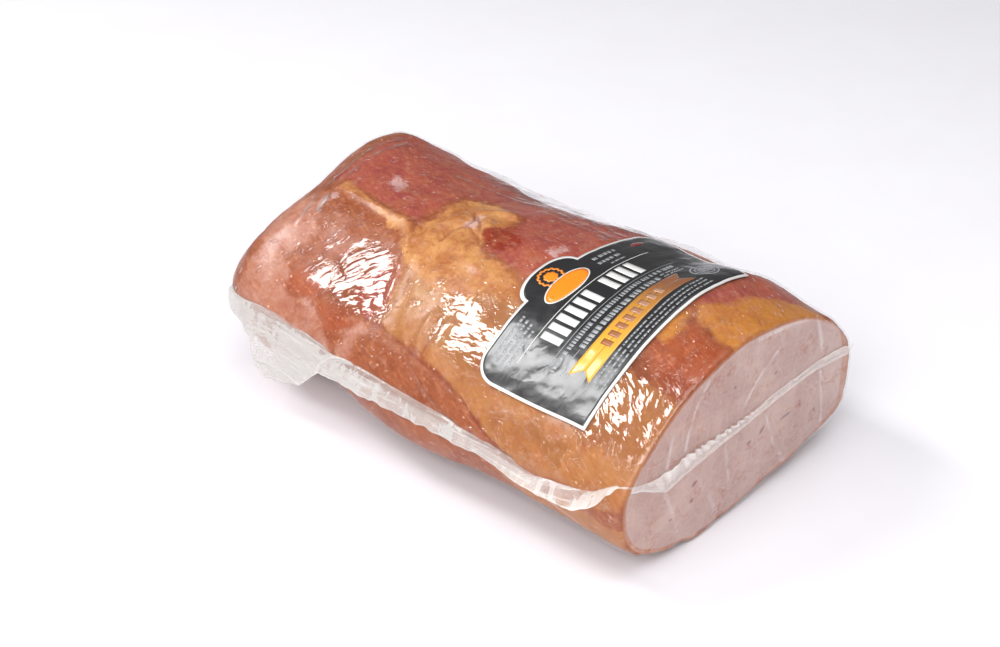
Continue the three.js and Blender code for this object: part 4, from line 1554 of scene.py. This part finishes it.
@dataclass
class Label:
    """The label over the crown, with its print as plain fields, bars and dashes. Its sizes and its
    outline are the CAD model's."""

    shape: LoinShape
    back: float = 38.0
    front: float = 100.0
    left: float = 73.0
    right: float = -47.0
    right_back: float = 3.5
    right_front: float = -8.0
    corner: float = 12.0
    bulge_middle: float = 17.0
    bulge_half: float = 17.0
    bulge_out: float = 8.4
    roundel_line: float = 0.2
    oval_line: float = 9.4
    title_from: float = 27.0
    title_pitch: float = 5.35
    ribbon_from: float = 18.0
    ribbon_long: float = 72.0
    ribbon_half: float = 5.3
    ribbon_notch: float = 4.5
    ribbon_middle: float = 46.1
    lift: float = 0.8
    thickness: float = 0.45
    border: float = 1.3
    layer: float = 0.05
    wave: float = 0.2
    ground: PrintFinish = PrintFinish("label_ground", srgb(30, 30, 32), srgb(26, 26, 28))
    white: PrintFinish = PrintFinish("label_white", srgb(206, 206, 204), srgb(196, 195, 194))
    grey: PrintFinish = PrintFinish("label_grey", srgb(150, 152, 154), srgb(126, 127, 130))
    # The gold runs from pale gold to copper-brown along the ribbon: partly its printed colour, partly a
    # painted sheen at the pale end.
    gold: PrintFinish = PrintFinish("label_gold", srgb(232, 168, 52), srgb(124, 76, 44), 0.25)
    brown: PrintFinish = PrintFinish("label_brown", srgb(140, 76, 18), srgb(160, 120, 96))
    amber: PrintFinish = PrintFinish("label_amber", srgb(220, 128, 22), srgb(220, 120, 16))
    red: PrintFinish = PrintFinish("label_red", srgb(112, 30, 26), srgb(104, 24, 22))
    table: tuple[Array, Array, Array, Array] = field(init=False)

    def __post_init__(self) -> None:
        """Works out a table of the skin under the label, over place along and distance round."""
        x = np.arange(self.back - self.bulge_out - 4.0, self.front + 4.0, 1.0)
        angle = np.linspace(np.radians(20.0), np.radians(185.0), 700)
        points = self.shape.skin(x[:, None], np.ones((1, 1)), np.ones((1, 1)), angle[None, :])
        steps = np.linalg.norm(np.diff(points, axis=1), axis=-1)
        walked = np.concatenate([np.zeros((len(x), 1)), np.cumsum(steps, axis=1)], axis=1)
        crown = np.argmin(np.abs(angle - np.pi / 2.0))
        walked = walked - walked[:, [crown]]
        around = np.arange(self.right - 8.0, self.left + 4.0, 1.0)
        placed = np.stack([
            np.stack([np.interp(around, distance, row[:, axis]) for axis in range(3)], axis=-1)
            for distance, row in zip(walked, points)
        ])
        normals = unit(np.cross(np.gradient(placed, axis=1), np.gradient(placed, axis=0)))
        self.table = (x, around, placed, normals)

    def on_loin(self, read: Array, line: Array, lift: float) -> tuple[Array, Array]:
        """Places on the loin and their normals, read from the table between its four nearest points,
        and raised along the normal by lift and the label's own waves.

        Args:
            read: distance from the label's left end.
            line: distance from the label's back edge.
            lift: the height over the skin.

        Returns:
            The points and the normals.
        """
        x, around, placed, normals = self.table
        slant = mixed(line / (self.front - self.back), self.right_back, self.right_front)
        reach = read + slant * smooth(read, 88.0, self.left - self.right)
        along = np.clip(self.back + line - x[0], 0.0, len(x) - 1.001)
        over = np.clip(self.left - reach - around[0], 0.0, len(around) - 1.001)
        i, j = along.astype(int), over.astype(int)
        s, t = (along - i)[..., None], (over - j)[..., None]

        def between(values: Array) -> Array:
            """The value between the four nearest points of the table."""
            near = mixed(t, values[i, j], values[i, j + 1])
            far = mixed(t, values[i + 1, j], values[i + 1, j + 1])
            return mixed(s, near, far)

        normal = unit(between(normals))
        flat = level(read, line)
        waves = self.wave * (LatticeNoise(61).at(flat, 13.0, 2) + 0.6 * LatticeNoise(62).at(flat, 6.0, 1))
        return between(placed) + normal * (lift + waves)[..., None], normal

    def back_edge(self, read: Array, inset: float) -> Array:
        """The back edge of the label let in by an inset: rounded at both corners, with a round
        bulge that stands out."""
        around = self.left - read
        into = np.minimum(self.left - around, around - self.right) - inset
        radius = self.corner - inset
        corner = radius - np.clip(into, 0.0, radius)
        rounded = radius - np.sqrt(np.maximum(radius**2 - corner**2, 0.0))
        away = np.clip(np.abs(around - self.bulge_middle) / (self.bulge_half - inset), 0.0, 1.0)
        return inset + rounded - self.bulge_out * np.sqrt(1.0 - away**2.4)

    def field_of(self, inset: float, height: float, thickness: float) -> Print:
        """The label's whole area let in by an inset, as one slab."""
        width = self.left - self.right
        all_over, near = (0.5 - 0.5 * np.cos(np.linspace(0.0, np.pi, count)) for count in (170, 50))
        middle = self.left - self.bulge_middle
        half = self.bulge_half - inset
        reads = [inset + (width - 2.0 * inset) * all_over, middle - half + 2.0 * half * near]
        read = np.unique(np.concatenate(reads).round(4))
        slab = Print(self, height, thickness)
        high = np.full(read.shape, self.front - self.back - inset)
        slab.between(read, self.back_edge(read, inset), high, 64)
        return slab

    def build(self, effects: Effects) -> list[Piece]:
        """Makes the label's sheet and its print: its title, small print and ribbon, a roundel of two
        scalloped shapes in the bulge with an oval in front of it, and a small mark at the back right.

        Args:
            effects: the shared effects.

        Returns:
            The pieces.
        """
        white = self.white.material(effects)
        first = self.lift + self.layer
        second = first + self.layer
        middle = self.left - self.bulge_middle
        roundel = Print(self, second).ring(middle, self.roundel_line, scalloped(6.2, 0.8, 14), 1.1)
        roundel.disc(middle, self.roundel_line, scalloped(3.4, 0.6, 8), 3)
        oval_edge = Print(self, second).ring(middle, self.oval_line, oval(13.2, 5.9), 0.9)
        oval_field = Print(self, second + self.layer).disc(middle, self.oval_line, oval(12.5, 5.2), 5)
        mark = Print(self, second).disc(103.0, 7.6, oval(4.0, 1.6, 24), 2)
        return [
            self.field_of(0.0, self.lift, self.thickness).piece("label_sheet", white),
            self.field_of(self.border, first, 0.07).piece("label_ground", self.ground.material(effects)),
            self.title(second).piece("label_title", white),
            self.small_print(second).piece("label_small_print", self.grey.material(effects)),
            self.ribbon(second).piece("label_ribbon", self.gold.material(effects)),
            self.ribbon_bars(second + self.layer).piece("label_ribbon_bars", self.brown.material(effects)),
            roundel.piece("label_roundel", self.amber.material(effects)),
            oval_edge.piece("label_oval_edge", white),
            oval_field.piece("label_oval", self.amber.material(effects)),
            mark.piece("label_mark", self.red.material(effects)),
        ]

    def title(self, height: float) -> Print:
        """The title as ten upright bars, six and four, with one thin rule along them on the back edge's side.
        """
        ink = Print(self, height)
        starts = self.title_from + self.title_pitch * np.arange(11)
        for number in (0, 1, 2, 3, 4, 5, 7, 8, 9, 10):
            ink.bar(starts[number] + 0.4, starts[number] + 4.0, 18.4, 28.9)
        ink.bar(13.0, 100.0, 16.8, 17.15)
        return ink

    def small_print(self, height: float) -> Print:
        """The lines of small print as rows of dashes, and the round seal at the right."""
        ink = Print(self, height)
        beside_bulge = ((5.4, 11, 33), (8.2, 10, 32), (11.0, 9, 33), (13.8, 10, 30))
        for seed, (line, start, stop) in enumerate(beside_bulge, 1):
            ink.dashes(start, stop, line, 1.3, seed)
        for line, start, stop, seed in ((6.2, 76, 92, 5), (10.4, 75, 90, 6), (14.0, 79, 88, 7)):
            ink.dashes(start, stop, line, 1.9 if seed < 7 else 0.9, seed, 3.2)
        ink.bar(14.0, 101.0, 30.7, 31.0)
        ink.dashes(16, 98, 33.5, 2.3, 8, 1.9)
        ink.bar(16.0, 30.0, 38.0, 38.3)
        ink.dashes(31, 82, 38.1, 2.9, 9, 2.1)
        ink.dashes(84, 99, 36.9, 0.9, 10)
        ink.dashes(84, 99, 39.1, 0.9, 11)
        for line, seed in ((53.6, 12), (56.0, 13), (58.3, 14)):
            ink.dashes(17, 93, line, 0.9, seed)
        ink.ring(103.0, 47.6, oval(9.6, 6.2), 0.8)
        ink.ring(103.0, 47.6, oval(6.8, 4.2), 0.5)
        for line in (46.2, 47.6, 49.0):
            ink.bar(98.6, 107.4, line - 0.35, line + 0.35)
        return ink

    def ribbon_line(self, read: Array) -> Array:
        """The middle line of the ribbon, which waves gently."""
        return self.ribbon_middle + 0.5 * np.sin((read - self.ribbon_from) / self.ribbon_long * 2.0 * np.pi)

    def ribbon(self, height: float) -> Print:
        """The ribbon: a band with a notch in each end, as two halves that meet along its middle."""
        ink = Print(self, height)
        share = np.linspace(0.0, 1.0, 60)[:, None]
        edge_read = self.ribbon_from + self.ribbon_long * share
        middle_read = edge_read + self.ribbon_notch * (1.0 - 2.0 * share)
        middle = level(middle_read, self.ribbon_line(middle_read))[..., :2]
        for side in (-1.0, 1.0):
            edge = level(edge_read, self.ribbon_line(edge_read) + side * self.ribbon_half)[..., :2]
            flat = mixed(np.linspace(0.0, 1.0, 6)[None, :, None], middle, edge)
            ink.slab(flat if side > 0.0 else flat[:, ::-1])
        return ink

    def ribbon_bars(self, height: float) -> Print:
        """Eight upright bars in the middle of the ribbon."""
        ink = Print(self, height)
        for start in 36.0 + 5.0 * np.arange(8):
            middle = float(self.ribbon_line(np.array(start + 1.5)))
            ink.bar(start, start + 3.0, middle - 2.6, middle + 2.6)
        return ink


def link_facing(item: Piece, back: Vector, side: Vector) -> None:
    """Links a lamp or a camera, turned so that it looks away from back with side on its right."""
    up = back.cross(side).normalized()
    right = up.cross(back).normalized()
    item.rotation_mode = "QUATERNION"
    item.rotation_quaternion = Matrix((right, up, back)).transposed().to_quaternion()
    bpy.context.scene.collection.objects.link(item)


@dataclass(frozen=True)
class Softbox:
    """A soft rectangular light: the direction it comes from, its distance, its two sides, the first
    of them level, and its radiance."""

    name: str
    direction: Place
    distance: float
    size: tuple[float, float]
    radiance: float
    side: Place = (1.0, 0.0, 0.0)

    def build(self) -> None:
        """Places the light, turned to face the pack; its power is its radiance times pi times its area."""
        data = bpy.data.lights.new(self.name, "AREA")
        data.shape = "RECTANGLE"
        data.size, data.size_y = self.size
        data.energy = self.radiance * float(np.pi) * self.size[0] * self.size[1]
        lamp = bpy.data.objects.new(self.name, data)
        back = Vector(self.direction).normalized()
        lamp.location = back * self.distance
        link_facing(lamp, back, Vector(self.side))


@dataclass(frozen=True)
class Studio:
    """A pale floor, soft lights and a camera where the photograph's was."""

    azimuth: float = 43.2
    elevation: float = 31.5
    distance: float = 900.0
    lens: float = 71.16
    sensor: float = 36.0
    target: Place = (-7.9, 0.6, 34.5)
    lights: tuple[Softbox, ...] = (
        Softbox("key", (-0.58, -0.27, 0.762), 1.25, (0.6, 0.3), 16.0),
        Softbox("front", (0.62, -0.45, 0.64), 1.5, (1.3, 1.3), 2.7, (0.45, 0.62, 0.0)),
        Softbox("overhead", (0.25, 0.2, 1.0), 1.5, (1.3, 1.3), 1.9),
        Softbox("left", (0.15, -0.8, 0.58), 1.5, (1.3, 0.9), 4.6),
    )
    world: float = 0.2
    floor: Pair = (srgb(236, 234, 240), srgb(241, 240, 245))
    floor_half: float = 3000.0
    floor_dimming: float = 0.18

    def build(self) -> None:
        """Makes the floor, the lights, the world and the camera."""
        self.build_floor()
        for light in self.lights:
            light.build()
        self.build_world()
        self.build_camera()

    def build_floor(self) -> None:
        """A wide flat floor at the pack's foot, faintly grained. It throws back more light than the
        camera sees of it, so that it shows off-white and not burnt out."""
        material, tree, shader = new_material("studio_floor")
        grain = tree.noise(tree.place(), 40.0, 3.0)
        colour = tree.blend(grain, *self.floor)
        seen = tree.times(tree.add("LightPath").outputs["Is Camera Ray"], self.floor_dimming)
        tree.feed(shader, {"Base Color": tree.blend(seen, colour, srgb(0, 0, 0)), "Roughness": 0.7})
        corners = self.floor_half * np.array([[-1, -1, 0], [1, -1, 0], [1, 1, 0], [-1, 1, 0]])
        floor = put_mesh("studio_floor", corners, [np.array([[0, 1, 2, 3]])], material)

    def build_world(self) -> None:
        """An even white surround."""
        world = bpy.data.worlds.new("studio")
        world.use_nodes = True
        background = world.node_tree.nodes["Background"]
        background.inputs[0].default_value = (1.0, 1.0, 1.0, 1.0)
        background.inputs[1].default_value = self.world
        bpy.context.scene.world = world
        bpy.context.scene.view_settings.view_transform = "Standard"

    def build_camera(self) -> None:
        """A camera turned by azimuth and elevation, at its distance from the target."""
        turn, rise = np.radians(self.azimuth), np.radians(self.elevation)
        back = Vector((np.sin(turn) * np.cos(rise), -np.cos(turn) * np.cos(rise), np.sin(rise)))
        data = bpy.data.cameras.new("camera")
        data.sensor_fit = "HORIZONTAL"
        data.sensor_width = self.sensor
        data.lens = self.lens
        camera = bpy.data.objects.new("camera", data)
        target = (np.array(self.target) - MIDDLE) * METRES
        camera.location = Vector(target) + back * self.distance * METRES
        link_facing(camera, back, Vector((np.cos(turn), np.sin(turn), 0.0)))
        bpy.context.scene.camera = camera


@dataclass(frozen=True)
class SharedLumps:
    """The soft lumps that meat and film share. A ridge is a line on the unrolled skin, its half width
    and its height."""

    broad: float = 0.9
    broad_size: float = 34.0
    fine: float = 0.35
    fine_size: float = 12.0
    calming: float = 0.75
    ridges: tuple[tuple[Outline, float, float], ...] = (
        (((-34, 27), (-31.5, 14), (-29.5, 2), (-28, -8), (-21, -14), (-11, -15)), 3.2, 1.6),
        (((-20, -6), (-14, 1), (-8, 7)), 3.0, 1.2), (((-14, 18), (-4, 26), (6, 28)), 3.4, 0.8),
        (((-98, 20), (-70, 21), (-48, 21), (-42, 25), (-36, 33), (-32, 38), (-28, 47),
          (-25, 57)), 2.3, 1.2),
        (((4, 57), (4, 66), (5.5, 75)), 2.4, 1.2), (((13.5, 58), (13.5, 66), (15, 74)), 2.6, 0.8),
        (((-70, 81), (-46, 86), (-20, 78), (6, 80)), 3.5, 0.6),
    )

    def over(self, grid: SkinGrid) -> Array:
        """The lumps over a grid: noise at two sizes, calmer on the cut face, under the label and at
        the base, and the ridges."""
        lumps = self.broad * LatticeNoise(3).at(grid.points, self.broad_size, 2)
        lumps = lumps + self.fine * LatticeNoise(4).at(grid.points, self.fine_size, 2)
        under = window(grid.x, 26.0, 36.0, 100.0, 105.0) * window(grid.round, -52.0, -46.0, 72.0, 78.0)
        for calmer in (smooth(grid.on_cut, -0.5, 2.0), under):
            lumps = lumps * (1.0 - self.calming * calmer)
        lumps = lumps * smooth(grid.points[..., 2], 0.5, 8.0)
        for line, width, height in self.ridges:
            lumps = lumps + height * grid.near((line,), width) * grid.on_length
        return lumps


def main() -> None:
    """Builds the pack piece by piece, then the studio."""
    logging.basicConfig(level=logging.INFO, format="%(message)s")
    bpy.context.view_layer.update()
    shape = LoinShape()
    grid = SkinGrid(shape)
    effects = Effects()
    lumps = SharedLumps().over(grid)
    pieces = [
        CookedLoin(grid).build(effects, lumps),
        FilmSkin(grid).build(effects, lumps),
        FilmHem(shape).build(effects),
    ]
    for piece in Label(shape).build(effects):
        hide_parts("label")
        pieces.append(piece)
    for piece in pieces:
        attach(piece, "root")
        LOG.info("%s: %d vertices, %d faces", piece.name, len(piece.data.vertices), len(piece.data.polygons))
    Studio().build()


if __name__ == "__main__":
    main()
